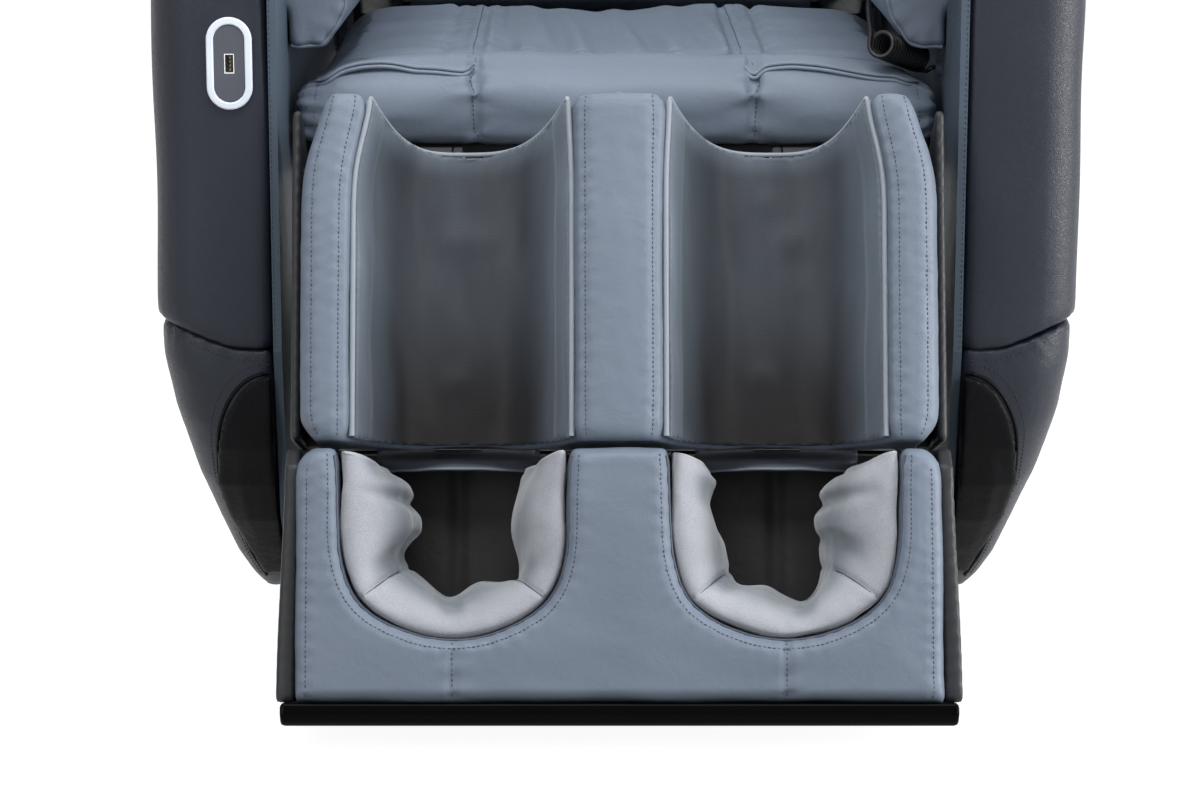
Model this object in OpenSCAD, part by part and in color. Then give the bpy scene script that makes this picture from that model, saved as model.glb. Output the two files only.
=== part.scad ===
// Massage recliner with side pods, a two-channel calf unit and a two-well foot unit; front is -Y

/* [Chair] */
// Distance from the middle of the chair forward to the seat's front edge
seat_front = 342; // [330:1:400]
// Clear width between the two side pods
pod_gap = 552; // [548:1:600]
// Height of the rubber floor glides
glide_h = 14; // [8:1:20]

/* [Side pods] */
// Width of one side pod
pod_w = 106; // [104:1:125]
// Thickness of the light inner panel of a pod
inner_panel_t = 7; // [5:0.5:9]
// How far the pods stand in front of the seat
pod_front = 90; // [85:1:100]
// Distance from the seat's front to the pods' rear face
pod_rear = 700; // [690:1:760]
// Height of the pods' underside
pod_bottom = 52; // [40:1:70]
// Height of the seam between upper and lower cover at the inner front
pod_seam = 284; // [260:1:300]
// Rise of that seam towards the outer side
seam_rise = 22; // [5:1:30]
// Height of the pods' top at the front
pod_top_front = 655; // [640:1:680]
// Height of the pods' top at the rear
pod_top_rear = 690; // [660:1:720]
// How far the underside is drawn back from the pod's front
pod_sweep = 110; // [80:1:130]
// How far the underside is drawn in from the pod's outer side
pod_taper = 72; // [40:1:74]
// Radius of the pod's outer front edge
pod_round = 44; // [30:1:50]

/* [Arm pads] */
// How far an arm pad reaches in over the seat from the pod's inner face
arm_pad_over = 54; // [48:1:60]
// Height of the pad's underside
arm_pad_bottom = 527; // [526:1:540]
// Height of the floor of the arm trough
arm_floor = 575; // [568:1:585]
// Thickness of the pad's inner wall
arm_wall = 25; // [20:1:27]
// Width of the trough that holds the forearm
trough_w = 68; // [60:1:72]
// Distance from the seat's front back to the arm pad's front
arm_pad_start = 14; // [12:1:30]
// Length of the arm pad
arm_pad_len = 446; // [400:1:448]

/* [Seat] */
// How far the seat's front roll stands out past the cushion at each side
roll_over = 6; // [0:1:8]
// Depth of the front roll
roll_d = 80; // [70:1:82]
// Height of the top of the front roll
roll_top = 508; // [500:1:510]
// Width of the seat cushion
seat_w = 524; // [500:1:560]
// Least clearance between the seat cushion and a side pod
seat_clear = 14; // [10:1:14]
// Height of the seat cushion's top
seat_top = 500; // [492:1:504]
// Distance from the seat's front to the cushion's rear edge
seat_rear = 508; // [480:1:510]
// Depth of the sewn seams of the seat
seat_seam = 6; // [2:0.5:9]

/* [Base frame] */
// Side of the square frame tube
tube = 30; // [26:1:32]
// Distance from the middle to the centre of a side rail
rail_x = 215; // [208:1:220]
// Height of the seat frame's underside
seat_frame_z = 400; // [390:1:402]
// Height of the middle rails that carry the actuators
mid_rail_z = 200; // [180:1:205]
// Rear end of the floor skids, from the seat's front
skid_rear = 700; // [680:1:720]
// Radius of the transport wheels
wheel_r = 34; // [28:1:38]
// Width of the transport wheels
wheel_w = 24; // [18:1:26]

/* [Leg rest] */
// Angle of the leg rest from upright, at rest
leg_tilt = 18; // [17:0.5:19]
// Distance of the leg rest's frame in front of the seat
leg_out = 19; // [17:1:22]
// Height of the leg rest's frame where that distance is taken
leg_z = 430; // [428:1:434]
// Distance of the leg hinge in front of the frame's middle
leg_pivot_out = 15; // [14:0.5:15.5]
// Width of the calf unit
calf_w = 524; // [510:1:534]
// Distance from the hinge plane to the front of the calf ridges
calf_front = 135; // [130:1:138]
// Height of the calf ridges above the hinge
calf_top = 38; // [30:1:40]
// Distance of the calf unit's lower end below the hinge
calf_bottom = 243; // [242:1:244]
// Width of the middle ridge
ridge_w = 72; // [66:1:76]
// Width of one calf channel
channel_w = 177; // [170:1:179]
// Depth of the calf channels
channel_d = 95; // [85:1:98]
// Thickness of the channels' fabric lining
liner_t = 5; // [3:0.5:7]

/* [Foot unit] */
// Width of the foot unit's side shells
foot_w = 540; // [532:1:544]
// Width of the leather front of the foot unit
foot_face_w = 510; // [500:1:512]
// Top of the foot unit, below the hinge
foot_top = 248; // [247:1:250]
// Underside of the leather front, below the hinge
foot_low = 449; // [446:1:452]
// Distance from the hinge plane to the foot unit's front face
foot_front = 141; // [138:1:144]
// Thickness of the front cushion
foot_pad_t = 40; // [34:1:42]
// Distance from the middle to the centre of a foot well
well_x = 131; // [130:1:134]
// Width of one foot well
well_w = 178; // [170:1:180]
// Lowest point of a foot well, below the hinge
well_low = 399; // [394:1:400]
// Thickness of the wells' padded lining
well_lining = 20; // [16:1:24]
// Travel of the sprung foot unit
foot_travel = 140; // [100:5:140]
// Radius of the foot unit's slide rods
slide_r = 8; // [6:0.5:9]

/* [Backrest] */
// Lean of the backrest from upright, at rest
back_lean = 25; // [24:0.5:28]
// Distance from the seat's front to the back hinge
back_hinge_y = 610; // [606:1:620]
// Height of the back hinge
back_hinge_z = 415; // [412:1:420]
// Length of the backrest above its hinge
back_len = 790; // [770:5:820]
// Width of the backrest
back_w = 524; // [510:1:536]
// Width across the shoulder wings
wing_span = 600; // [570:2:620]
// Distance from the hinge plane to the back cushion's front
back_cushion_out = 135; // [125:1:140]
// Distance from the hinge plane to the back cushion's rear face
back_cushion_in = 66; // [64:1:70]
// Distance from the hinge plane to the rear of the shell
back_shell_out = 104; // [98:1:112]
// Wall of the rear shell
back_wall = 6; // [4:0.5:8]

/* [Massage carriage] */
// Middle of the carriage above the back hinge, at rest
carriage_z = 330; // [325:1:340]
// Travel of the carriage each way
carriage_travel = 210; // [180:5:210]
// Radius of a massage roller
roller_r = 19; // [16:0.5:20]
// Width of a massage roller
roller_w = 25; // [18:0.5:26]
// Distance from the middle to a knead arm
knead_x = 60; // [56:1:61]
// Radius of the lead screw
screw_r = 8; // [6:0.5:9]

/* [Remote] */
// Height of the handset's lower end
remote_z = 612; // [610:1:620]
// Length of the handset
remote_len = 160; // [150:1:170]
// Width of the handset
remote_w = 50; // [46:1:52]
// Thickness of the handset
remote_t = 22; // [20:1:24]
// Number of curls in the remote's cord
curls = 14; // [10:1:16]

/* [Pins] */
// Radius of the leg and back hinge pins
pin_r = 8; // [6.5:0.5:9]
// Running clearance of a pin in its bore
pin_clear = 0.05; // [0.02:0.01:0.08]

/* [Hidden] */
$fn = 48;

// Gap between neighbours that lie against each other
fit = 0.3;

charcoal = "#3b3f49";
kick_black = "#17181c";
grey_leather = "#7d8ca0";
smoke_fabric = "#4a4952";
pale_fabric = "#b5b7c0";
shell_grey = "#34363a";
steel_black = "#1d1e21";
steel = "#b9bcc0";

function arc(c, r, a0, a1, n) =
    [for (i = [0:n]) let (a = a0 + (a1 - a0) * i / n) c + r * [cos(a), sin(a)]];
function mix(a, b, t) = a + (b - a) * t;
function smooth(t) = let (s = max(0, min(1, t))) s * s * (3 - 2 * s);
function unit(v) = v / norm(v);
// How far a cushion's face has dropped at a distance d from its edge, rounded over a width w
function edge(d, w) = d >= w ? 0 : 1 - sqrt(1 - pow(1 - max(0, d) / w, 2));
function flipped(p) = [for (i = [len(p) - 1:-1:0]) [-p[i][0], p[i][1]]];
// A counter-clockwise outline moved inwards by d
function drawn_in(p, d) = [for (i = [0:len(p) - 1])
    let (a = p[(i + len(p) - 1) % len(p)], b = p[i], c = p[(i + 1) % len(p)],
         e = unit(b - a), f = unit(c - b), n = [-e[1], e[0]], m = [-f[1], f[0]], q = unit(n + m))
    b + q * d / max(0.6, q * n)];

// Closed skin through rings of points, each counter-clockwise as seen from the last one;
// the end faces join each point of a ring to the one as far from the ring's other end
module skin(rings) {
    n = len(rings[0]);
    m = (len(rings) - 1) * n;
    sides = [for (k = [0:n:m - n]) for (i = [0:n - 1])
        let (a = k + i, b = k + (i + 1) % n) each [[a, a + n, b + n], [a, b + n, b]]];
    cap = [for (i = [0:floor((n - 3) / 2)]) each (n - 2 - i > i + 1
        ? [[i, i + 1, n - 1 - i], [i + 1, n - 2 - i, n - 1 - i]] : [[i, i + 1, n - 1 - i]])];
    polyhedron([for (r = rings) each r], concat(sides, cap, [for (f = cap) [m + f[2], m + f[1], m + f[0]]]));
}

// Closed solid between a front and a back sheet of points with the same rows and columns
module padded(front, back) {
    rows = len(front);
    cols = len(front[0]);
    b = rows * cols;
    cells = [for (i = [0:rows - 2]) for (j = [0:cols - 2]) i * cols + j];
    rim = concat(
        [for (j = [0:cols - 1]) j],
        [for (i = [1:rows - 1]) i * cols + cols - 1],
        [for (j = [cols - 2:-1:0]) (rows - 1) * cols + j],
        [for (i = [rows - 2:-1:1]) i * cols]);
    faces = concat(
        [for (p = cells) each [[p, p + cols, p + 1], [p + 1, p + cols, p + cols + 1]]],
        [for (p = cells) let (q = b + p)
            each [[q, q + 1, q + cols], [q + 1, q + cols + 1, q + cols]]],
        [for (k = [0:len(rim) - 1]) let (u = rim[k], v = rim[(k + 1) % len(rim)])
            each [[u, v, b + v], [u, b + v, b + u]]]);
    polyhedron(concat([for (r = front) each r], [for (r = back) each r]), faces);
}

// Places counted from the seat's front edge, from the leg hinge and from the back hinge
module from_seat() { translate([0, -seat_front, 0]) children(); }
module on_leg() {
    from_seat() translate([0, -leg_out, leg_z]) rotate([-leg_tilt, 0, 0]) children();
}
module on_back() {
    from_seat() translate([0, back_hinge_y, back_hinge_z]) rotate([-back_lean, 0, 0]) children();
}
module both() {
    children();
    mirror([1, 0, 0]) children();
}
module bar(x, y, z) {
    translate([x[0], y[0], z[0]]) cube([x[1] - x[0], y[1] - y[0], z[1] - z[0]]);
}
// A side view, Y across and Z up, made solid from x0 to x1
module across(x0, x1) { translate([x0, 0, 0]) rotate([90, 0, 90]) linear_extrude(x1 - x0) children(); }
module round_x(x0, x1, at, r) { translate([x0, at[0], at[1]]) rotate([0, 90, 0]) cylinder(h = x1 - x0, r = r); }

// Base frame
post_front = 60;
post_rear = back_hinge_y - tube / 2;
rail_in = rail_x - tube / 2;
rail_out = rail_x + tube / 2;
low_bar = [glide_h, glide_h + tube];
mid_bar = [mid_rail_z, mid_rail_z + tube];
motor_pin_r = 6;
motor_half = 12;
motor_lift = 50;
leg_motor_at = [400, mid_rail_z + motor_lift];
back_motor_at = [230, mid_rail_z + motor_lift];
motor_x = 55;
ear_t = 6;
wheel_at = [skid_rear + wheel_r + 8, wheel_r + 4];
axle_r = 6;
wheel_plate_t = 4;

module motor_ears(x, at) {
    for (inner = [x - motor_half - fit - ear_t, x + motor_half + fit])
        across(inner, inner + ear_t) difference() {
            union() {
                translate(at) circle(13);
                translate([at[0] - 13, mid_bar[1]]) square([26, motor_lift - tube]);
            }
            translate(at) circle(motor_pin_r + pin_clear);
        }
}
module base_frame() color(steel_black) from_seat() {
    side = [rail_in, rail_out];
    both() {
        bar(side, [20, skid_rear], low_bar);
        bar(side, [post_front, post_front + tube], [low_bar[1], seat_frame_z]);
        bar(side, [post_front + tube, post_rear], mid_bar);
        difference() {
            bar(side, [post_rear, post_rear + tube], [low_bar[1], back_hinge_z + 22]);
            round_x(rail_in - 1, rail_out + 1, [back_hinge_y, back_hinge_z], pin_r + pin_clear);
        }
        for (x = [rail_in - wheel_plate_t, rail_out]) across(x, x + wheel_plate_t) difference() {
            union() {
                translate(wheel_at) circle(14);
                polygon([[skid_rear - 50, low_bar[0] + 4], [skid_rear - 50, low_bar[1]],
                         [wheel_at[0], wheel_at[1] + 14], [wheel_at[0], wheel_at[1] - 14]]);
            }
            translate(wheel_at) circle(axle_r + pin_clear);
        }
    }
    for (y = [post_front, 300, 640]) bar([-rail_in, rail_in], [y, y + tube], low_bar);
    for (at = [leg_motor_at, back_motor_at])
        bar([-rail_in, rail_in], [at[0] - tube / 2, at[0] + tube / 2], mid_bar);
    motor_ears(-motor_x, leg_motor_at);
    motor_ears(motor_x, back_motor_at);
}
module floor_glides() color("#26272a") from_seat() both()
    for (y = [50, skid_rear - 60]) translate([rail_x, y, 0]) cylinder(h = glide_h, r1 = 16, r2 = 13);
module transport_wheels() color("#2b2c30") from_seat() difference() {
    union() {
        both() {
            round_x(rail_x - wheel_w / 2, rail_x + wheel_w / 2, wheel_at, wheel_r);
            round_x(rail_out + wheel_plate_t + 0.5, rail_out + wheel_plate_t + 5, wheel_at, axle_r + 4);
        }
        round_x(-rail_out - wheel_plate_t - 4, rail_out + wheel_plate_t + 4, wheel_at, axle_r);
    }
    both() for (x = [rail_x - wheel_w / 2 - 1, rail_x + wheel_w / 2 - 5])
        translate([x, wheel_at[0], wheel_at[1]]) rotate([0, 90, 0]) difference() {
            cylinder(h = 6, r = wheel_r - 8);
            translate([0, 0, -1]) cylinder(h = 8, r = axle_r + 6);
        }
}

// Points of the leg rest and of the backrest in the seat's side view
function leg_point(p) = [-leg_out, leg_z]
    + [p[0] * cos(leg_tilt) + p[1] * sin(leg_tilt), -p[0] * sin(leg_tilt) + p[1] * cos(leg_tilt)];
function back_point(p) = [back_hinge_y, back_hinge_z]
    + [p[0] * cos(back_lean) + p[1] * sin(back_lean), -p[0] * sin(back_lean) + p[1] * cos(back_lean)];
leg_pivot = [-leg_pivot_out, -5];
leg_hinge = leg_point(leg_pivot);

// Seat frame, its board and the lugs of the leg hinge
seat_frame_top = seat_frame_z + tube;
board_t = 10;
board_top = seat_frame_top + board_t;
leg_lug_x = 150;
leg_boss_half = 13;
lug_t = 8;
module seat_frame() color(steel_black) from_seat() {
    rear = post_rear - 15;
    both() {
        bar([rail_in, rail_out], [30, rear], [seat_frame_z, seat_frame_top]);
        for (y = [130, 420]) bar([rail_out, half_gap - fit], [y, y + tube], [seat_frame_z, seat_frame_top]);
        for (x = [leg_lug_x - leg_boss_half - 1 - lug_t, leg_lug_x + leg_boss_half + 1])
            across(x, x + lug_t) difference() {
                union() {
                    translate(leg_hinge) circle(15);
                    polygon([leg_hinge + [0, 15], [30, seat_frame_top], [30, seat_frame_z], leg_hinge - [0, 15]]);
                }
                translate(leg_hinge) circle(pin_r + pin_clear);
            }
    }
    for (y = [30, 255, rear - tube]) bar([-rail_in, rail_in], [y, y + tube], [seat_frame_z, seat_frame_top]);
    bar([-seat_w / 2 + 4, seat_w / 2 - 4], [20, seat_rear], [seat_frame_top, board_top]);
}
back_boss = [rail_in - 28, rail_in - 2];
module hinge_pins() color(steel) from_seat() {
    both() {
        round_x(leg_lug_x - 24, leg_lug_x + 24, leg_hinge, pin_r);
        round_x(back_boss[0] - 2, rail_out + 3, [back_hinge_y, back_hinge_z], pin_r);
    }
    pin_half = motor_half + ear_t + 2;
    round_x(-motor_x - pin_half, -motor_x + pin_half, leg_motor_at, motor_pin_r);
    round_x(motor_x - pin_half, motor_x + pin_half, back_motor_at, motor_pin_r);
}

// Seat cushion: pleated centre between seams, plain sides
seat_strip = 133;
seat_centre = 104;
module seat_cushion() {
    half = seat_w / 2;
    side_mid = mix(seat_strip + 5, half - 26, 0.53);
    xs = [-half, -half + 8, -half + 26, -side_mid, -seat_strip - 5, -seat_strip, -seat_strip + 5, -seat_centre - 5,
          -seat_centre, -seat_centre + 5, -60, -20, 20, 60, seat_centre - 5, seat_centre, seat_centre + 5,
          seat_strip - 5, seat_strip, seat_strip + 5, side_mid, half - 26, half - 8, half];
    ts = [0, 0.03, 0.09, 0.22, 0.38, 0.55, 0.72, 0.88, 0.96, 1];
    front = roll_d + 1;
    function seam(x) = (abs(abs(x) - seat_strip) < 1 || abs(abs(x) - seat_centre) < 1) ? seat_seam : 0;
    function top(x, t) = seat_top - 8 * pow(x / half, 4) - 16 * edge(half - abs(x), 26)
        - 14 * edge(t * (seat_rear - front), 30) - 20 * edge((1 - t) * (seat_rear - front), 40)
        - seam(x) * smooth(8 * t) * smooth(8 * (1 - t)) - 5 * smooth(1 - abs(x) / seat_centre);
    function side(x, t) = x * (1 - 0.012 * pow(abs(x) / half, 3) * (1 - pow(2 * t - 1, 4)));
    sheet = [for (t = ts) [for (x = xs) [side(x, t), mix(front, seat_rear, t), top(x, t)]]];
    base = [for (t = ts) [for (x = xs) [side(x, t) * 0.985, mix(front + 3, seat_rear - 4, t), board_top + fit]]];
    color(grey_leather) from_seat() padded(sheet, base);
}
module seat_front_roll() {
    half = seat_w / 2 + roll_over;
    low = board_top + fit;
    outline = concat(arc([roll_d - 24, roll_top - 24], 24, 0, 90, 3), arc([26, roll_top - 26], 26, 90, 180, 3),
                     arc([14, low + 14], 14, 180, 270, 2), arc([roll_d - 8, low + 8], 8, 270, 360, 2));
    xs = [-half, -half + 5, -half + 18, -half + 33, -123, -118, -113, -40, 40, 109, 114, 119, half - 33, half - 18,
          half - 5, half];
    function waist(x) = abs(x) > half - 1 ? 15 : abs(x) > half - 6 ? 7 : abs(x) > half - 20 ? 2
        : (abs(x + 118) < 1 || abs(x - 114) < 1) ? 3 : 0;
    function droop(x, z) = 16 * smooth((abs(x) - half + 50) / 44) * (z - low) / (roll_top - low);
    color(grey_leather) from_seat() skin(
        [for (x = xs) [for (p = drawn_in(outline, waist(x))) [x, p[0], p[1] - droop(x, p[1])]]]);
}

// Side pods
half_gap = max(pod_gap / 2, seat_w / 2 + seat_clear);
pod_out = half_gap + pod_w;
pod_in = half_gap + inner_panel_t + fit;
// Radius of the outer edge, smaller where the pod is too narrow for the full one
function outer_round(x_out) = min(pod_round, x_out - pod_in - 12);
function pod_plan(x_out, front, rear, r = 8) = let (out = outer_round(x_out), back = min(40, out)) concat(
    arc([pod_in + r, front + r], r, 180, 270, 2), [[mix(pod_in + r, x_out - out, 0.5), front - 0.6]],
    arc([x_out - out, front + out], out, 270, 360, 6),
    arc([x_out - back, rear - back], back, 0, 90, 4), arc([pod_in + r, rear - r], r, 90, 180, 2));
function seam_z(x) = pod_seam + seam_rise * smooth((x - pod_in - 20) / (pod_out - pod_in - 20));
function top_z(y) = mix(pod_top_front, pod_top_rear, (y + pod_front) / (pod_rear + pod_front));
function lower_out(v) = pod_out - 2 - pod_taper * pow(1 - v, 1.6);
function lower_front(v) = -pod_front + pod_sweep * pow(1 - v, 2.2);
trough_end = arm_pad_len + arm_pad_start;
trough_floor = arm_floor - 18;
module pod_cover(pocket) {
    levels = [[0, 2.5, 8], [0.012, 0.8, 8], [0.04, 0, 8], [0.5, 0, 8], [0.93, 1, 8], [0.975, 7, 16], [1, 20, 26]];
    difference() {
        skin([for (l = levels) [for (p = drawn_in(pod_plan(pod_out, -pod_front, pod_rear, l[2]), l[1]))
            [p[0], p[1], mix(seam_z(p[0]) + fit, top_z(p[1]), l[0])]]]);
        bar([pod_in - 5, trough_out + fit], [arm_pad_start - fit, trough_end + fit],
            [trough_floor - fit, pod_top_rear + 20]);
        if (pocket) bar([usb_x - 5, usb_x + 5], [-pod_front - 5, -pod_front + 13], [usb_z - 9.5, usb_z + 9.5]);
    }
}
module pod_lower() skin([for (v = [0, 0.06, 0.16, 0.3, 0.48, 0.7, 0.88, 1])
    let (tuck = v == 0 ? 6 : v == 0.06 ? 2 : v == 1 ? 2 : 0,
         plan = pod_plan(lower_out(v), lower_front(v), pod_rear - 60 * pow(1 - v, 1.6)))
    [for (p = drawn_in(plan, tuck)) [p[0], p[1], mix(pod_bottom, seam_z(p[0]) - fit, v)]]]);
module pod_cover_right() color(charcoal) from_seat() pod_cover(false);
module pod_cover_left() color(charcoal) from_seat() mirror([1, 0, 0]) pod_cover(true);
module pod_lower_right() color(charcoal) from_seat() pod_lower();
module pod_lower_left() color(charcoal) from_seat() mirror([1, 0, 0]) pod_lower();
// The light panels that line the pods towards the seat, with a pad beside the backrest's foot, and the
// grommet of the remote's cord
grommet_r = 6;
rear_pad_t = half_gap - back_w / 2 - 4;
module pod_inner_panels() color("#8a99ab") from_seat() {
    panel = [half_gap, half_gap + inner_panel_t];
    both() across(panel[0], panel[1]) polygon([
        [-pod_front - 2, pod_top_front - 14], [-pod_front - 2, pod_seam],
        [mix(-pod_front, lower_front(0), 0.35) - 2, pod_seam - 150], [lower_front(0) - 2, pod_bottom + 6],
        [pod_rear - 70, pod_bottom + 6], [pod_rear - 10, pod_seam], [pod_rear - 10, pod_top_rear - 14],
        [trough_end + fit, pod_top_rear - 30], [trough_end + fit, trough_floor - fit],
        [arm_pad_start - fit, trough_floor - fit], [arm_pad_start - fit, pod_top_front - 14]]);
    both() bar([half_gap - rear_pad_t, half_gap + 1], [640, pod_rear - 10], [440, 600]);
    round_x(cord_exit[0], half_gap, [cord_exit[1], cord_exit[2]], grommet_r);
}
// The padded panel in each pod's inner lower front, laid on the pod's surface
module kick_panel() {
    zs = [72, 82, 100, 130, 165, 200, 228, 248, 258, 263];
    function v_of(z) = (z - pod_bottom) / (pod_seam - pod_bottom);
    function width(z) = let (u = (z - 72) / 191)
        min(50 * sqrt(max(0, 1 - pow(u, 4))) + 3, lower_out(v_of(z)) - pod_in - 16);
    function face(x, z) = let (v = v_of(z), r = outer_round(lower_out(v)), d = max(0, x - lower_out(v) + r))
        lower_front(v) + r - sqrt(r * r - d * d);
    function sheet(out) = [for (z = zs) [for (k = [0, 0.08, 0.3, 0.6, 0.92, 1])
        let (x = pod_in + 1 + width(z) * k, rim = (k == 0 || k == 1) ? 1.6 : 0)
        [x, face(x, z) - out * (3.6 - rim) - 0.9, z]]];
    padded(sheet(1), sheet(0));
}
module pod_kick_panels() color(kick_black) from_seat() both() kick_panel();

// Arm pads: a padded trough hung over each pod's inner wall
arm_pad_in = half_gap - arm_pad_over;
trough_in = arm_pad_in + arm_wall;
trough_out = trough_in + trough_w + 8;
module arm_pad() {
    top = arm_floor + 68;
    lining = trough_out - 8;
    outline = [
        [arm_pad_in + 8, top], [arm_pad_in, top - 8], [arm_pad_in, arm_floor + 2],
        [arm_pad_in + 3, trough_floor - 2], [arm_pad_in + 20, arm_pad_bottom + 5],
        [arm_pad_in + 26, arm_pad_bottom], [half_gap - fit, arm_pad_bottom], [half_gap - fit, trough_floor],
        [trough_out, trough_floor], [trough_out, arm_floor + 8], [trough_out, top], [trough_out - 3, top + 4],
        [lining + 3, top + 4], [lining, top], [lining, arm_floor + 12], [lining - 10, arm_floor],
        [half_gap + 8, arm_floor], [half_gap - 8, arm_floor], [trough_in + 10, arm_floor],
        [trough_in + 3, arm_floor + 4], [trough_in, arm_floor + 12], [trough_in, arm_floor + 26],
        [trough_in, top - 8], [trough_in - 8, top]];
    ends = [[trough_end, 3], [trough_end - 4, 0.6], [trough_end - 14, 0], [arm_pad_start + 16, 0],
            [arm_pad_start + 4, 1.2], [arm_pad_start, 3.6]];
    skin([for (e = ends) [for (p = drawn_in(outline, e[1])) [p[0], e[0], p[1]]]]);
}
module arm_pad_right() color(grey_leather) from_seat() arm_pad();
module arm_pad_left() color(grey_leather) from_seat() mirror([1, 0, 0]) arm_pad();

// Charging port on the left pod
usb_x = half_gap + 38;
usb_z = 522;
port_h = 75;
port_w = 37;
ring_band = 6;
module pill(w, h) { for (s = [-1, 1]) translate([0, s * (h - w) / 2]) circle(w / 2); square([w, h - w], center = true); }
module on_port(out) {
    from_seat() translate([-usb_x, -pod_front - 0.9, usb_z]) rotate([90, 0, 0]) linear_extrude(out) children();
}
module usb_bezel() color("#d8dee6") on_port(4) difference() {
    pill(port_w, port_h);
    pill(port_w - 2 * ring_band, port_h - 2 * ring_band);
}
module usb_faceplate() color("#45494f") on_port(3) difference() {
    pill(port_w - 2 * ring_band - 2 * fit, port_h - 2 * ring_band - 2 * fit);
    square([8.6, 16.6], center = true);
}
module usb_socket() color("silver") from_seat() translate([-usb_x, -pod_front, usb_z]) {
    difference() {
        bar([-4, 4], [-3.5, 11], [-8, 8]);
        bar([-3.3, 3.3], [-4.5, 10], [-7.2, 7.2]);
    }
}

// Control box at the rear of the base, with its mains inlet and rocker switch
box_x = [-190, -70];
box_z = [low_bar[1] + fit, low_bar[1] + 90];
box_rear = 694;
switch_at = [-160, box_rear, 100];
inlet_x = -105;
module control_box() color("#2a2b2e") from_seat() difference() {
    bar(box_x, [575, box_rear], box_z);
    bar([switch_at[0] - 10, switch_at[0] + 10], [box_rear - 10, box_rear + 1], [switch_at[2] - 15, switch_at[2] + 15]);
    difference() {
        bar([inlet_x - 13, inlet_x + 13], [box_rear - 16, box_rear + 1], [switch_at[2] - 10, switch_at[2] + 10]);
        for (x = [-7, 0, 7]) bar([inlet_x + x - 1, inlet_x + x + 1], [box_rear - 17, box_rear - 4],
            [switch_at[2] - 3, switch_at[2] + 3]);
    }
}
module mains_switch() color("#101113") from_seat() translate(switch_at) across(-9.5, 9.5)
    polygon([[-5, -14], [2.5, -14.2], [1.2, 0], [4, 14.2], [-5, 14]]);
module air_pump() color("#3c3f44") from_seat() {
    bar([-180, -90], [255, 375], [low_bar[1] + fit, low_bar[1] + 80]);
    for (y = [275, 315, 355]) translate([-135, y, low_bar[1] + 80]) cylinder(h = 12, r = 8);
}

// Remote handset in its holder on the right pod's inner face
remote_y = -60;
remote_x = half_gap - 29;
grip = 4;
holder_top = 690;
module remote_holder() color("#1b1c1e") from_seat() difference() {
    y0 = remote_y - remote_w / 2 - 0.5;
    y1 = remote_y + remote_w / 2 + 0.5;
    union() {
        bar([half_gap - 6, half_gap - fit], [y0 - grip, y1 + grip], [remote_z - 8, holder_top]);
        bar([remote_x - 3, half_gap - 6], [y0 - grip, y1 + grip], [remote_z - 8, remote_z - fit]);
        for (y = [[y0 - grip, y0], [y1, y1 + grip]]) bar([remote_x - 3, half_gap - 6], y, [remote_z - 8, remote_z + 36]);
        for (y = [[y0, y0 + 9], [y1 - 9, y1]]) bar([remote_x - 4, remote_x - 0.5], y, [remote_z - 8, remote_z + 36]);
    }
    bar([remote_x - 5, remote_x + remote_t / 2 + 5], [remote_y - 8, remote_y + 8], [remote_z - 9, remote_z]);
}
key_x = remote_x + 5;
power_z = remote_z + 88;
rocker_z = remote_z + 60;
rocker_y = 11;
module remote_case() color("#202226") from_seat() difference() {
    union() {
        bar([remote_x, remote_x + remote_t], [remote_y - remote_w / 2, remote_y + remote_w / 2], [remote_z, remote_z + remote_len]);
        translate([remote_x + remote_t / 2, remote_y, remote_z - 5]) cylinder(h = 6, r1 = 3.2, r2 = 5);
    }
    round_x(remote_x - 1, key_x, [remote_y, power_z], 7);
    for (s = [-1, 1]) bar([remote_x - 1, key_x], [remote_y + s * rocker_y - 7, remote_y + s * rocker_y + 7],
        [rocker_z - 12, rocker_z + 12]);
    bar([remote_x - 1, remote_x + 1.5], [remote_y - 19, remote_y + 19], [remote_z + 102, remote_z + 152]);
}
module remote_screen() color("#0c0d10") from_seat()
    bar([remote_x + 0.2, remote_x + 1.5], [remote_y - 18.7, remote_y + 18.7], [remote_z + 102.3, remote_z + 151.7]);
module button_power() color("#c8ccd2") from_seat() round_x(remote_x - 1.5, key_x - 1.6, [remote_y, power_z], 6.6);
module rocker(y) {
    translate([0, remote_y + y, rocker_z]) rotate([90, 0, 0]) linear_extrude(12.8, center = true)
        polygon([[remote_x - 1.6, -11], [key_x - 1.6, -11], [key_x - 0.4, 0], [key_x - 1.6, 11],
                 [remote_x - 1.6, 11], [remote_x - 0.8, 0]]);
}
module button_back() color("#9aa0a8") from_seat() rocker(-rocker_y);
module button_leg() color("#9aa0a8") from_seat() rocker(rocker_y);

// The remote's cord: a straight lead, curls lying on the seat's corner, and the end in the grommet
cord_d = 4.2;
curl_d = 25;
curl_pitch = 5;
curl_r = (curl_d - cord_d) / 2;
curl_front = [half_gap - 56, 6, 526];
curl_axis = unit([36, 56, -18]);
curl_side = unit(cross(curl_axis, [0, 0, 1]));
curl_up = cross(curl_side, curl_axis);
cord_exit = [half_gap - 5, 55, 500];
function curl_point(a) = curl_front + curl_axis * curl_pitch * (a - 180) / 360
    + curl_r * (curl_side * cos(a) + curl_up * sin(a));
function curl_tangent(a) = unit(curl_axis * curl_pitch / 360
    + curl_r * PI / 180 * (curl_up * cos(a) - curl_side * sin(a)));
last_turn = 270 + 360 * curls;
first_way = curl_tangent(180);
last_way = curl_tangent(last_turn);
curl_end = curl_point(last_turn) + 1.5 * cord_d * last_way;
curl_line = concat([curl_point(180) - 1.5 * cord_d * first_way],
    [for (i = [0:8 * curls + 2]) curl_point(180 + 45 * i)], [curl_end]);
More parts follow.
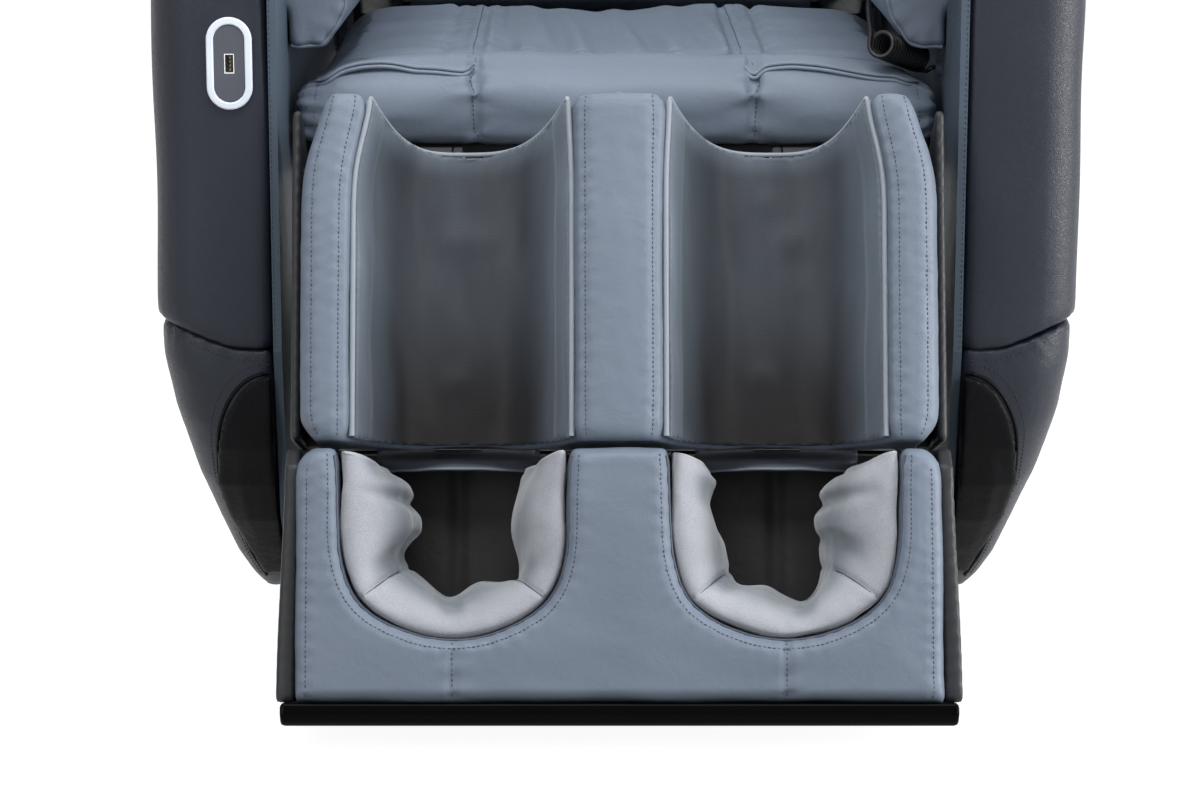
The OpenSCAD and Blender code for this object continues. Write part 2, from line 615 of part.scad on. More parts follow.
lead_points = [
    [remote_x + remote_t / 2, remote_y, remote_z - 5],
    for (p = [[18, -60, 597], [20, -57, 588], [26, -48, 581], [36, -34, 577], [47, -18, 575], [57, -3, 574],
              [63, 8, 570], [66, 13, 562], [66, 14, 553], [65, 14, 544]]) [half_gap - p[0], p[1], p[2]]];
end_points = [[half_gap - 9, 55, 500], cord_exit];
// Rings of n points round a line; the first and last ring stand square to it
function tube_rings(line, r, n, up) = [for (i = [0:len(line) - 1])
    let (t = unit(line[min(i + 1, len(line) - 1)] - line[max(i - 1, 0)]),
         s = unit(cross(t, up)), u = cross(s, t))
    [for (k = [0:n - 1]) line[i] + r * (s * cos(360 * k / n) - u * sin(360 * k / n))]];
module remote_cord() color("#111214") from_seat() {
    skin(tube_rings(concat(lead_points, [curl_line[0] - cord_d * first_way, curl_line[0]]),
        cord_d / 2, 8, [1, 0.3, 0.2]));
    skin(tube_rings(concat([curl_end, curl_end + cord_d * last_way], end_points), cord_d / 2, 8, [0, 0, 1]));
}
module remote_cord_curls() color("#111214") from_seat()
    skin(tube_rings(curl_line, cord_d / 2, 6, curl_axis));
curl_gap = min([for (i = [0:len(curl_line) - 6]) for (j = [i + 5:min(i + 12, len(curl_line) - 1)])
    norm(curl_line[i] - curl_line[j])]) - cord_d;
echo(least_gap_between_curls = curl_gap);

// Backrest
rail_top = back_len - 70;
low_bar_z = [20, 40];
lever_at = [85, -30];
back_lever_r = 20;
module back_frame() color(steel_black) on_back() {
    difference() {
        union() {
            both() across(back_boss[0], back_boss[1]) {
                circle(15);
                translate([-12, 0]) square([24, rail_top]);
            }
            for (z = [low_bar_z, [rail_top - 20, rail_top]]) bar([-back_boss[0], back_boss[0]], [-12, 12], z);
            both() for (z = [90, 400, rail_top - 20]) {
                bar(back_boss, [-back_cushion_in + fit, -12], [z, z + 20]);
                bar([back_boss[1], back_w / 2 - back_wall - fit], [-12, 12], [z, z + 20]);
            }
        }
        both() round_x(back_boss[0] - 1, back_boss[1] + 1, [0, 0], pin_r + pin_clear);
        translate([0, screw_y, low_bar_z[0] + 4]) cylinder(h = rail_top - 4 - low_bar_z[0], r = screw_r + pin_clear);
    }
    across(motor_x - 5, motor_x + 5) difference() {
        union() {
            translate(lever_at) circle(back_lever_r);
            polygon([[12, 20], [66, -38], [96, -13], [12, 40]]);
        }
        translate(lever_at) circle(10);
    }
}
shell_low = 26;
module back_form(inset) {
    half = back_w / 2 - inset;
    rear = back_shell_out - inset;
    front = -back_cushion_in + fit - inset;
    intersection() {
        translate([0, 0, shell_low - (inset > 0 ? 10 : 0)]) linear_extrude(back_len) polygon(concat(
            [[-half, front], [half, front]], arc([half - 80, rear - 80], 80, 0, 90, 8),
            arc([-half + 80, rear - 80], 80, 90, 180, 8)));
        across(-half - 1, half + 1) polygon(concat(
            [[front, 0], [rear - 16, 0], [rear, 120]], [[rear, 520]],
            arc([rear - 150, back_len - 180 - inset], 150, 20, 80, 6), [[front, back_len - inset - 20]]));
    }
}
module back_shell() color(charcoal) on_back() difference() {
    back_form(0);
    back_form(back_wall);
}
module back_cushion() {
    half = 198;
    xs = [-half, -half + 7, -half + 24, -120, -64, -60, -56, 0, 56, 60, 64, 120, half - 24, half - 7, half];
    zs = [48, 54, 66, 110, 155, 160, 165, 210, 262, 267, 272, 325, 380, 385, 390, 440, 500, 505, 510, 570, 640, 700, 738, 752, 758];
    seams = [160, 267, 385, 505];
    function sewn(z) = len([for (s = seams) if (abs(s - z) < 1) s]) > 0 ? 7 : 0;
    function waist(z) = 1 - 0.03 * sin(180 * (z - 48) / 710);
    function front(x, z) = -back_cushion_out + 9 * pow(x / half, 4) + 22 * edge(half - abs(x), 24)
        + 20 * edge(z - 48, 22) + 24 * edge(758 - z, 30) + sewn(z) * smooth((half - abs(x)) / 40)
        + (abs(abs(x) - 60) < 1 ? 5 : 0);
    color(grey_leather) on_back() padded(
        [for (z = zs) [for (x = xs) [x * waist(z), front(x, z), z]]],
        [for (z = zs) [for (x = xs) [x * waist(z) * 0.98, -back_cushion_in, z]]]);
}
module bolster(x0, x1, z0, z1, out, turn) {
    zs = [0, 0.04, 0.12, 0.3, 0.5, 0.7, 0.88, 0.96, 1];
    outline = concat([[x0, -back_cushion_in], [x0 + 3, -back_cushion_in - 50]],
        arc([x1 - 24, -out + 20], 20, 200, 340, 5), [[x1 - 1, -back_cushion_in - 30], [x1, -back_cushion_in]]);
    skin([for (t = zs) let (tuck = t == 0 || t == 1 ? 10 : t == 0.04 || t == 0.96 ? 4 : 0)
        [for (p = drawn_in(outline, tuck)) [p[0] + turn * sin(180 * t), p[1], mix(z0, z1, t)]]]);
}
module back_side_bolsters() color(charcoal) on_back() both() bolster(201, back_w / 2 - 2, 46, 425, 172, 0);
module shoulder_wings() color(charcoal) on_back() both()
    bolster(208, wing_span / 2, 430, 660, 205, -2);
module head_pillow() {
    xs = [-150, -144, -128, -70, 0, 70, 128, 144, 150];
    zs = [640, 645, 660, 700, 735, 762, 774, 778];
    function front(x, z) = -186 + 26 * edge(150 - abs(x), 24) + 26 * edge(z - 640, 24) + 26 * edge(778 - z, 24)
        - 6 * (1 - pow(x / 150, 2));
    color(pale_fabric) on_back() padded(
        [for (z = zs) [for (x = xs) [x, front(x, z), z]]],
        [for (z = zs) [for (x = xs) [x * 0.98, -back_cushion_out - fit, z]]]);
}

// Massage mechanism in the backrest
screw_y = 6;
rail_at = 97;
rail_t = 16;
shaft_r = 9;
shaft_y = -22;
roller_y = -38;
roller_z = 52;
roller_axle = 4;
arm_t = 14;
roller_in = knead_x + arm_t / 2 + 1.5;
module track_rails() color(steel) on_back() both() difference() {
    bar([rail_at, rail_at + rail_t], [-12, 12], [low_bar_z[1], rail_top - 20]);
    bar([rail_at - 1, rail_at + 8], [-3, 9], [low_bar_z[1] - 1, rail_top]);
}
module lead_screw() color(steel) on_back() translate([0, screw_y, low_bar_z[0] + 4.5])
    cylinder(h = rail_top - 5 - low_bar_z[0], r = screw_r);
module carriage() color("#4a4d52") on_back() translate([0, 0, carriage_z]) difference() {
    union() {
        bar([-92, 92], [-6, 18], [-42, 42]);
        both() {
            for (z = [-38, 24]) bar([92, rail_at + 7], [-2.7, 8.7], [z, z + 14]);
            across(76, 88) {
                translate([shaft_y, 0]) circle(16);
                translate([shaft_y, -16]) square([-6 - shaft_y, 32]);
            }
        }
        bar([-30, 30], [18, 24], [-24, 24]);
        round_x(-45, 45, [42, 0], 20);
    }
    translate([0, screw_y, -43]) cylinder(h = 86, r = screw_r + pin_clear);
    both() {
        round_x(75, 89, [shaft_y, 0], shaft_r + pin_clear);
        bar([22, 74], [-7, 19], [26, 36]);
        bar([22, 74], [-7, 19], [-36, -26]);
    }
}
module knead_shaft() color(steel) on_back() {
    round_x(-90, 90, [shaft_y, carriage_z], shaft_r);
    round_x(-24, 24, [shaft_y, carriage_z], shaft_r + 3);
    for (x = [-20, -5, 10]) round_x(x, x + 10, [shaft_y, carriage_z], shaft_r + 5);
}
module knead_arm() on_back() translate([0, 0, carriage_z]) {
    difference() {
        across(knead_x - arm_t / 2, knead_x + arm_t / 2) {
            translate([shaft_y, 0]) circle(15.5);
            for (s = [-1, 1]) {
                translate([roller_y, s * roller_z]) circle(9);
                polygon([[shaft_y - 13, s * 6], [shaft_y + 13, s * 6], [roller_y + 9, s * roller_z], [roller_y - 9, s * roller_z]]);
            }
        }
        round_x(0, 100, [shaft_y, 0], shaft_r + pin_clear);
    }
    for (s = [-1, 1]) round_x(knead_x, roller_in + roller_w + 2, [roller_y, s * roller_z], roller_axle);
}
module knead_arm_left() color("#6c7076") mirror([1, 0, 0]) knead_arm();
module knead_arm_right() color("#6c7076") knead_arm();
module roller(s) on_back() translate([0, roller_y, carriage_z + s * roller_z]) difference() {
    translate([roller_in, 0, 0]) rotate([0, 90, 0]) rotate_extrude() polygon(concat(
        [[0, 0]], arc([roller_r - 6, 6], 6, 270, 360, 4), arc([roller_r - 6, roller_w - 6], 6, 0, 90, 4), [[0, roller_w]]));
    round_x(0, 200, [0, 0], roller_axle + pin_clear);
}
module roller_left_upper() color("#c9a14a") mirror([1, 0, 0]) roller(1);
module roller_left_lower() color("#c9a14a") mirror([1, 0, 0]) roller(-1);
module roller_right_upper() color("#c9a14a") roller(1);
module roller_right_lower() color("#c9a14a") roller(-1);

// Leg rest frame, calf unit
slide_x = 238;
slide_y = 8;
leg_lever_at = [12, -36];
leg_window_r = 12;
// The top falls gently towards the channels' floor and faster behind it
top_slope = 0.41;
rear_slope = 0.83;
channel_floor = -calf_front + channel_d;
function calf_top_z(y) = calf_top - top_slope * (y + calf_front) - (rear_slope - top_slope) * max(0, y - channel_floor);
module leg_frame() color(steel_black) on_leg() {
    difference() {
        union() {
            both() {
                across(leg_lug_x - leg_boss_half, leg_lug_x + leg_boss_half) {
                    translate(leg_pivot) circle(15);
                    translate([-10, -240]) square([20, 240]);
                }
                translate([slide_x, slide_y, -calf_bottom + 7]) cylinder(h = calf_bottom - 87, r = slide_r + 5);
            }
            for (z = [[-95, -75], [-240, -220]]) bar([-shell_in, shell_in], [cushion_in + fit, 10], z);
        }
        both() {
            round_x(leg_lug_x - 20, leg_lug_x + 20, leg_pivot, pin_r + pin_clear);
            translate([slide_x, slide_y, -calf_bottom]) cylinder(h = calf_bottom, r = slide_r + pin_clear);
        }
    }
    across(-motor_x - 5, -motor_x + 5) difference() {
        union() {
            translate(leg_lever_at) circle(leg_window_r + 7);
            polygon([[-14, -76], [10, -90], [30, -42], [-6, -30]]);
        }
        translate(leg_lever_at) circle(leg_window_r);
    }
}
shell_in = calf_w / 2 - 8;
module calf_shell() {
    low = -calf_bottom + 1;
    rear = 45;
    module side(edge_points) { polygon(concat([for (y = edge_points) [y, calf_top_z(y)]], [[rear, low], [edge_points[0], low]])); }
    color(shell_grey) on_leg() {
        both() across(shell_in, calf_w / 2) side([-calf_front + 27, channel_floor, rear]);
        across(-shell_in, shell_in) side([rear - 8, rear]);
    }
}
channel_x = ridge_w / 2 + channel_w / 2;
cushion_in = -31;
// One channel's cross-section, from its inner to its outer rim; grow makes it wider and deeper
function channel(grow) = [for (i = [0:12]) let (s = sin(-90 + 15 * i),
    rim = -calf_front + 12, floor = -calf_front + channel_d + grow)
    [channel_x + (channel_w / 2 + grow) * s, mix(floor, rim, pow(abs(s), 3.2))]];
// The straight far side of an outline: a point opposite each point of its near side, clear of the corners
function opposite(near, y) = let (n = len(near), half = max(near[0][0], near[n - 1][0]))
    [for (i = [n - 1:-1:0]) [near[i][0] * (i == 0 || i == n - 1 ? 1 : 1 - 12 / half), y]];
function calf_outline() = let (half = shell_in - fit, rib = ridge_w / 2, out = rib + channel_w,
    right = concat([[0, -calf_front - 0.5], [rib - 12, -calf_front], [rib - 4, -calf_front + 3]], channel(0),
        [[out + 3, -calf_front + 3], [out + 10, -calf_front], [half - 10, -calf_front + 1],
         [half - 3, -calf_front + 7], [half, -calf_front + 16]]),
    front = concat(flipped([for (i = [1:len(right) - 1]) right[i]]), right))
    concat(front, opposite(front, cushion_in));
module calf_cushion() color(grey_leather) on_leg() {
    levels = [[0, 5], [0.012, 2.5], [0.04, 0], [0.5, 0], [0.955, 0], [0.985, 2], [1, 5]];
    skin([for (l = levels) [for (p = drawn_in(calf_outline(), l[1]))
        [p[0], p[1], mix(-calf_bottom, calf_top_z(p[1]), l[0])]]]);
}
module calf_liners() color(smoke_fabric) on_leg() both() {
    outer = channel(-fit);
    ring = concat(channel(-fit - liner_t), [for (i = [len(outer) - 1:-1:0]) outer[i]]);
    skin([for (t = [0.008, 0.3, 0.6, 0.99]) [for (p = ring) [p[0], p[1], mix(-calf_bottom, calf_top_z(p[1]), t)]]]);
}

// Foot unit
well_r = well_w / 2;
well_mid = -well_low + well_r;
shell_front = -foot_front + foot_pad_t + fit;
tray_rear = 48;
module foot_slides() color(steel) on_leg() both()
    translate([slide_x, slide_y, -foot_top - 44]) cylinder(h = foot_top + 44 - 70, r = slide_r);
module well_cut(r) {
    translate([well_x, well_mid]) circle(r);
    translate([well_x - r, well_mid]) square([2 * r, 200]);
}
roller_cavity = [-66, -34];
sole_at = [-50, -415];
module foot_shell() color(shell_grey) on_leg() {
    half = foot_w / 2;
    rear_low = -foot_low + 48;
    difference() {
        union() {
            across(-half, half) polygon([[shell_front, -foot_low], [tray_rear, rear_low],
                [tray_rear, -foot_top - 20], [tray_rear - 20, -foot_top], [shell_front, -foot_top]]);
            both() across(foot_face_w / 2 + fit, half) polygon([[-foot_front + 13, -foot_low],
                [shell_front, -foot_low], [shell_front, -foot_top], [shell_front - 12, -foot_top],
                [-foot_front + 13, -foot_top - 16]]);
        }
        both() {
            translate([0, 30, 0]) rotate([90, 0, 0]) linear_extrude(200) well_cut(well_r);
            translate([slide_x, slide_y, -foot_top - 45]) cylinder(h = 50, r = slide_r + pin_clear);
        }
        bar([-228, 228], roller_cavity, [sole_at[1] - 15, -well_low + 20]);
        round_x(-236, 236, sole_at, 5 + pin_clear);
    }
    across(-half + 4, half - 4) polygon([[-foot_front + 4, -foot_low - fit], [shell_front, -foot_low - fit],
        [tray_rear, rear_low - fit], [tray_rear, rear_low - 19], [-foot_front + 10, -foot_low - 19],
        [-foot_front + 4, -foot_low - 13]]);
}
function foot_outline() = let (half = foot_face_w / 2, top = -foot_top, well_in = well_x - well_r,
    well_out = well_x + well_r,
    right = concat(arc([half - 22, top - 22], 22, 0, 70, 3),
        [[well_out + 5, top - 1], [well_out + 1.5, top - 12]],
        [for (a = [0:-22.5:-180]) [well_x, well_mid] + well_r * [cos(a), sin(a)]],
        [[well_in - 1.5, top - 12], [well_in - 5, top - 1], [0, top]]),
    upper = concat(right, flipped([for (i = [0:len(right) - 2]) right[i]])))
    concat(upper, opposite(upper, -foot_low));
module foot_cushion() color(grey_leather) on_leg() {
    levels = [[-foot_front + foot_pad_t, 3], [-foot_front + foot_pad_t - 5, 0], [-foot_front + 14, 0],
              [-foot_front + 5, 2.5], [-foot_front, 8]];
    skin([for (l = levels) [for (p = drawn_in(foot_outline(), l[1])) [p[0], l[0], p[1]]]]);
}
lining_rear = 8;
module foot_liners() color(pale_fabric) on_leg() both() {
    outer = well_r - fit;
    inner = well_r - well_lining;
    top = -foot_top - 2;
    ring = concat([[well_x - outer + 6, top], [well_x - outer, top - 6]],
        arc([well_x, well_mid], outer, 180, 360, 8),
        [[well_x + outer, top - 6], [well_x + outer - 6, top], [well_x + inner + 6, top], [well_x + inner, top - 8]],
        arc([well_x, well_mid], inner, 360, 180, 8),
        [[well_x - inner, top - 8], [well_x - inner - 6, top]]);
    levels = [[lining_rear, 2], [lining_rear - 8, 0], [-40, 0], [-foot_front + 26, 0], [-foot_front + 14, 3], [-foot_front + 8, 7]];
    skin([for (l = levels) [for (p = drawn_in(ring, l[1])) [p[0], l[0], p[1]]]]);
}
module foot_gusset() {
    top = -240 - fit;
    zs = [top, top - 5, top - 10, top - 15, top - 20];
    function x_at(k) = well_x + (well_r - well_lining - 2) * (2 * k - 1);
    function fold(i, k) = (i % 2 == 0 ? 0 : 4) + 3 * sin(180 * k);
    function sheet(y) = [for (i = [len(zs) - 1:-1:0]) [for (k = [0:0.2:1]) [x_at(k), y + fold(i, k), zs[i]]]];
    color("#26282c") on_leg() both() padded(sheet(-12), sheet(-6));
}
module sole_rollers() color("#7b4f2a") on_leg() {
    round_x(-235, 235, sole_at, 5);
    both() for (x = [66, 98, 130, 162, 194]) round_x(x - 10, x + 10, sole_at, 12);
}

// Linear actuators, drawn with the rod along +Z and the base pivot at the origin
rod_r = 9;
tube_r = 19;
tube_len = 300;
function turn_to(from, to) = atan2(-(to[0] - from[0]), to[1] - from[1]);
module aimed(x, from, to) {
    from_seat() translate([x, from[0], from[1]]) rotate([turn_to(from, to), 0, 0]) children();
}
module motor_body(side) {
    difference() {
        union() {
            round_x(-motor_half, motor_half, [0, 0], 13);
            translate([0, 0, 14]) cylinder(h = tube_len - 14, r = tube_r);
            bar([-motor_half, motor_half], [-10, 10], [0, 20]);
            bar([-17, 17], side > 0 ? [0, 66] : [-66, 0], [24, 54]);
            translate([0, side * 44, 54]) cylinder(h = 100, r = 22);
        }
        round_x(-30, 30, [0, 0], motor_pin_r + pin_clear);
        translate([0, 0, tube_len - 30]) cylinder(h = 40, r = rod_r + pin_clear);
        translate([0, 0, 36]) cylinder(h = tube_len - 65, r = rod_r + 3);
    }
}
module rod_body(reach, start) {
    translate([0, 0, start]) cylinder(h = reach - 34 - start, r = rod_r);
    bar([-12.5, 12.5], [-10, 10], [reach - 46, reach - 34]);
    for (x = [-12.5, 6]) bar([x, x + 6.5], [-10, 10], [reach - 34, reach + 9]);
    translate([0, 0, reach]) rotate([0, 90, 0]) cylinder(h = 14, r = 5, center = true);
}
leg_tip = leg_point(leg_lever_at);
back_tip = back_point(lever_at);
leg_reach = norm(leg_tip - leg_motor_at);
back_reach = norm(back_tip - back_motor_at);
module leg_motor() color("#303236") aimed(-motor_x, leg_motor_at, leg_tip) motor_body(1);
module leg_rod() color(steel) aimed(-motor_x, leg_motor_at, leg_tip) rod_body(leg_reach, 150);
module back_motor() color("#303236") aimed(motor_x, back_motor_at, back_tip) motor_body(-1);
module back_rod() color(steel) aimed(motor_x, back_motor_at, back_tip) rod_body(back_reach, 120);

base_frame();
floor_glides();
seat_frame();
seat_cushion();
seat_front_roll();
hinge_pins();
pod_inner_panels();
pod_cover_left();
pod_cover_right();
pod_lower_left();
pod_lower_right();
pod_kick_panels();
arm_pad_left();
arm_pad_right();
usb_bezel();
usb_faceplate();
usb_socket();
control_box();
mains_switch();
air_pump();
transport_wheels();
remote_holder();
remote_case();
remote_screen();
button_power();
button_back();
button_leg();
remote_cord();
remote_cord_curls();
back_frame();
back_shell();
back_cushion();
back_side_bolsters();
shoulder_wings();
head_pillow();
track_rails();
lead_screw();
carriage();
knead_shaft();
knead_arm_left();
knead_arm_right();
roller_left_upper();
roller_left_lower();
roller_right_upper();
roller_right_lower();
leg_frame();
calf_shell();
calf_cushion();
calf_liners();
foot_slides();
foot_shell();
foot_cushion();
foot_liners();
foot_gusset();
sole_rollers();
leg_motor();
leg_rod();
back_motor();
back_rod();
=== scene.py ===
import math

import bmesh
import bpy
import numpy as np
from mathutils import Matrix, Vector
from mathutils.bvhtree import BVHTree
from mathutils.kdtree import KDTree


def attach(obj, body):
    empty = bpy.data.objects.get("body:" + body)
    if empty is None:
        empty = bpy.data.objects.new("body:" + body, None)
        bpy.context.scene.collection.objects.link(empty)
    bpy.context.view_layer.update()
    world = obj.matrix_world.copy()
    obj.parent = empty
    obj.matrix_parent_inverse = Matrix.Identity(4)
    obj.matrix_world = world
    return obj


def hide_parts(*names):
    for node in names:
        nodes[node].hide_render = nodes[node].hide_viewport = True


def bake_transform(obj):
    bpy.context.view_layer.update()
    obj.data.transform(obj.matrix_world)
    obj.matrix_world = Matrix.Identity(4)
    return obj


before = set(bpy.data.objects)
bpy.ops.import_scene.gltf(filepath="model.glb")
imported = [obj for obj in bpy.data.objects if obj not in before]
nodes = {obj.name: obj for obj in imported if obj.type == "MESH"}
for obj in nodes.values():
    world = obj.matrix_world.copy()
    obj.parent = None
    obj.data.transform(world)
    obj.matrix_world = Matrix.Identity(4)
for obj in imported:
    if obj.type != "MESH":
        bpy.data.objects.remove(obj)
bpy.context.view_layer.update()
scene = bpy.context.scene

# Camera: a long lens in front of the chair and a little above the seat, looking down at its lower half.
camera = bpy.data.objects.new("camera", bpy.data.cameras.new("camera"))
scene.collection.objects.link(camera)
scene.camera = camera
camera.location = (-0.032, -3.232, 0.871)
camera.rotation_euler = (math.radians(90 - 12.64), 0, 0)
camera.data.sensor_width = 36
camera.data.lens = 104.3
camera.data.shift_x = 0.0178
camera.data.clip_end = 60
scene.view_settings.view_transform = "Standard"

# The remote's cord: black, leaves the handset's lower end, hangs in a short lead, lies curled on the
# seat's right front corner and goes into a grommet in the right pod's inner panel.
MM = 0.001
SEAT_FRONT = 342
SIDES = (("left", -1), ("right", 1))


def on_seat(points):
    """Millimetres from the middle of the seat's front edge, at floor level, as points of the object."""
    p = np.atleast_2d(np.array(points, float))
    return (p - [0, SEAT_FRONT, 0]) * MM


def unit(v):
    return v / np.linalg.norm(v)


def ways(line):
    """The direction of a line at each of its points."""
    way = np.gradient(line, axis=0)
    return way / np.linalg.norm(way, axis=1)[:, None]


def spaced(points, step):
    """The same line with its points at even steps."""
    p = np.array(points, float)
    s = np.concatenate([[0], np.cumsum(np.linalg.norm(np.diff(p, axis=0), axis=1))])
    at = np.linspace(0, s[-1], max(2, int(round(s[-1] / step)) + 1))
    return np.stack([np.interp(at, s, p[:, k]) for k in range(3)], 1)


def smooth_path(points, step):
    """A curve through the points, with one point every step."""
    p = np.array(points, float)
    p = np.vstack([2 * p[0] - p[1], p, 2 * p[-1] - p[-2]])
    run = []
    for a, b, c, d in zip(p, p[1:], p[2:], p[3:]):
        for t in np.linspace(0, 1, 12, endpoint=False):
            run.append(0.5 * (2 * b + (c - a) * t + (2 * a - 5 * b + 4 * c - d) * t * t
                              + (3 * b - a - 3 * c + d) * t ** 3))
    run.append(p[-2])
    return spaced(run, step)


def new_object(name, mesh):
    obj = bpy.data.objects.new(name, mesh)
    scene.collection.objects.link(obj)
    return obj


def mesh_object(name, verts, faces):
    mesh = bpy.data.meshes.new(name)
    mesh.from_pydata([tuple(v) for v in verts], [], [tuple(f) for f in faces])
    mesh.shade_smooth()
    mesh.update()
    return new_object(name, mesh)


def tube(name, line, radius, sides):
    """A closed round tube along a line, with its rings carried along without twist."""
    p = np.array(line, float)
    way = ways(p)
    side = np.cross(way[0], [0.3, 0.2, 1.0])
    verts, faces = [], []
    for i, (c, w) in enumerate(zip(p, way)):
        side = unit(side - w * (side @ w))
        up = np.cross(w, side)
        for k in range(sides):
            a = 2 * math.pi * k / sides
            verts.append(c + radius * (side * math.cos(a) + up * math.sin(a)))
        if i:
            b = (i - 1) * sides
            faces += [(b + k, b + (k + 1) % sides, b + sides + (k + 1) % sides, b + sides + k)
                      for k in range(sides)]
    n = len(verts)
    faces += [tuple(range(sides - 1, -1, -1)), tuple(range(n - sides, n))]
    return mesh_object(name, verts, faces)


def feed(tree, target, value):
    """Gives an input another node's output, or an even value."""
    if isinstance(value, bpy.types.NodeSocket):
        tree.links.new(value, target)
    else:
        target.default_value = value


def add(tree, kind, inputs=(), out=0, **settings):
    """Adds a node with its settings and inputs, and gives back one of its outputs."""
    node = tree.nodes.new(kind)
    for key, value in settings.items():
        setattr(node, key, value)
    for key, value in dict(inputs).items():
        feed(tree, node.inputs[key], value)
    return node.outputs[out]


def shader_of(name, rough, metal=0.0, sheen=0.0, coat=0.0, specular=0.4):
    """A new material, its tree and its shader's inputs; even values sit on the shader's own sockets."""
    material = bpy.data.materials.new(name)
    material.use_nodes = True
    inputs = material.node_tree.nodes["Principled BSDF"].inputs
    for key, value in (("Roughness", rough), ("Metallic", metal), ("Specular IOR Level", specular),
                       ("Sheen Weight", sheen), ("Sheen Roughness", 0.45),
                       ("Coat Weight", coat), ("Coat Roughness", 0.12)):
        inputs[key].default_value = value
    return material, material.node_tree, inputs


def texture(tree, kind, scale, stretch=(1, 1, 1), turn=0.0, settings=None, **inputs):
    """A pattern on the piece's own coordinates; turn tips it about the X axis, in degrees."""
    where = add(tree, "ShaderNodeTexCoord", out="Object")
    place = add(tree, "ShaderNodeMapping",
                {"Vector": where, "Scale": stretch, "Rotation": (math.radians(turn), 0, 0)})
    return add(tree, "ShaderNodeTex" + kind, {"Vector": place, "Scale": scale, **inputs},
               "Distance" if kind == "Voronoi" else "Fac", **(settings or {}))


def shade(tree, pattern, low, high, start=0.3, end=0.7):
    """A ramp between two colours or greys by a pattern."""
    tone = add(tree, "ShaderNodeValToRGB", {"Fac": pattern})
    for stop, place, value in zip(tone.node.color_ramp.elements, (start, end), (low, high)):
        stop.position = place
        stop.color = (*value, 1) if hasattr(value, "__len__") else (value, value, value, 1)
    return tone


def scaled(colour, share):
    return [min(1.0, c * share) for c in colour]


def toned(tree, pattern, colour, low, high):
    """A colour made a little darker and lighter by a pattern."""
    return shade(tree, pattern, scaled(colour, low), scaled(colour, high))


def raised(tree, inputs, height, depth, strength=1.0):
    """Relief from a pattern, depth in metres, laid over the relief that is there already."""
    normal = inputs["Normal"]
    under = {"Normal": normal.links[0].from_socket} if normal.is_linked else {}
    feed(tree, normal, add(tree, "ShaderNodeBump",
                           {"Distance": depth, "Strength": strength, "Height": height, **under}))


def rubber(name, colour, rough=0.5, fleck=260, depth=0.00008):
    material, tree, inputs = shader_of(name, rough)
    fine = texture(tree, "Noise", fleck, Detail=3)
    feed(tree, inputs["Base Color"], toned(tree, texture(tree, "Noise", 30, Detail=4), colour, 0.85, 1.2))
    feed(tree, inputs["Roughness"], shade(tree, fine, rough - 0.07, rough + 0.1))
    raised(tree, inputs, fine, depth)
    return material


CORD_D, CURLS, CURL_PITCH = 4.2, 14, 5
CURL_R = (25 - CORD_D) / 2
FIRST_TURN, LAST_TURN = 180, 270 + 360 * CURLS
curl_front = np.array([220, 6, 526.0])
curl_axis = unit(np.array([36, 56, -18.0]))
curl_side = unit(np.cross(curl_axis, [0, 0, 1]))
curl_up = np.cross(curl_side, curl_axis)


def curl_point(degrees):
    a = math.radians(degrees)
    return (curl_front + curl_axis * CURL_PITCH * (degrees - FIRST_TURN) / 360
            + CURL_R * (curl_side * math.cos(a) + curl_up * math.sin(a)))


def curl_way(degrees):
    return unit(curl_point(degrees + 1) - curl_point(degrees - 1))


lead = [[258, -60, 607], [258, -60, 597], [256, -57, 588], [250, -48, 581], [240, -34, 577],
        [229, -18, 575], [219, -3, 574], [213, 8, 570], [210, 13, 562], [210, 14, 553], [211, 14, 544]]
lead += [curl_point(FIRST_TURN) - k * CORD_D * curl_way(FIRST_TURN) for k in (2.5, 1.5)]
turns = [curl_point(a) for a in range(FIRST_TURN, LAST_TURN + 1, 15)]
tail = [turns[-1] + k * CORD_D * curl_way(LAST_TURN) for k in (1.5, 2.5)]
tail += [np.array([267, 55, 500]), np.array([271, 55, 500])]
cord_path = on_seat(np.vstack([smooth_path(lead, 3), turns, smooth_path(tail, 3)]))
cord = tube("remote_cord_whole", cord_path, CORD_D / 2 * MM, 10)
cord.data.materials.append(rubber("cord_black", (0.011, 0.011, 0.013), 0.38, 900, 0.00003))
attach(cord, "base")
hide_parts("remote_cord", "remote_cord_curls")

# Floor and light: a white floor and background to the eye and in reflections, plain grey ones for all other
# rays, a soft light above the seat, two tall ones in front at the sides, one low at the right and one behind.


def shown_as(tree, plain, seen, end):
    """Rays that look, straight, mirrored or through glass, find the seen shader; all others the plain one."""
    looked_at = add(tree, "ShaderNodeLightPath", out="Is Camera Ray")
    for ray in ("Is Glossy Ray", "Is Transmission Ray"):
        other = add(tree, "ShaderNodeLightPath", out=ray)
        looked_at = add(tree, "ShaderNodeMath", {0: looked_at, 1: other}, operation="MAXIMUM")
    feed(tree, end.inputs["Surface"], add(tree, "ShaderNodeMixShader", {0: looked_at, 1: plain, 2: seen}))


floor = mesh_object("floor", [(-30, -30, 0), (30, -30, 0), (30, 30, 0), (-30, 30, 0)], [(0, 1, 2, 3)])
floor_grey, tree, inputs = shader_of("floor_grey", 0.9, specular=0.0)
feed(tree, inputs["Base Color"], shade(tree, texture(tree, "Noise", 3, Detail=2), 0.07, 0.10))
glow = add(tree, "ShaderNodeEmission", {"Strength": 0.93})
pale = add(tree, "ShaderNodeBsdfDiffuse", {"Color": (0.3, 0.3, 0.3, 1)})
lit = add(tree, "ShaderNodeAddShader", {0: glow, 1: pale})
shown_as(tree, tree.nodes["Principled BSDF"].outputs["BSDF"], lit, tree.nodes["Material Output"])
floor.data.materials.append(floor_grey)

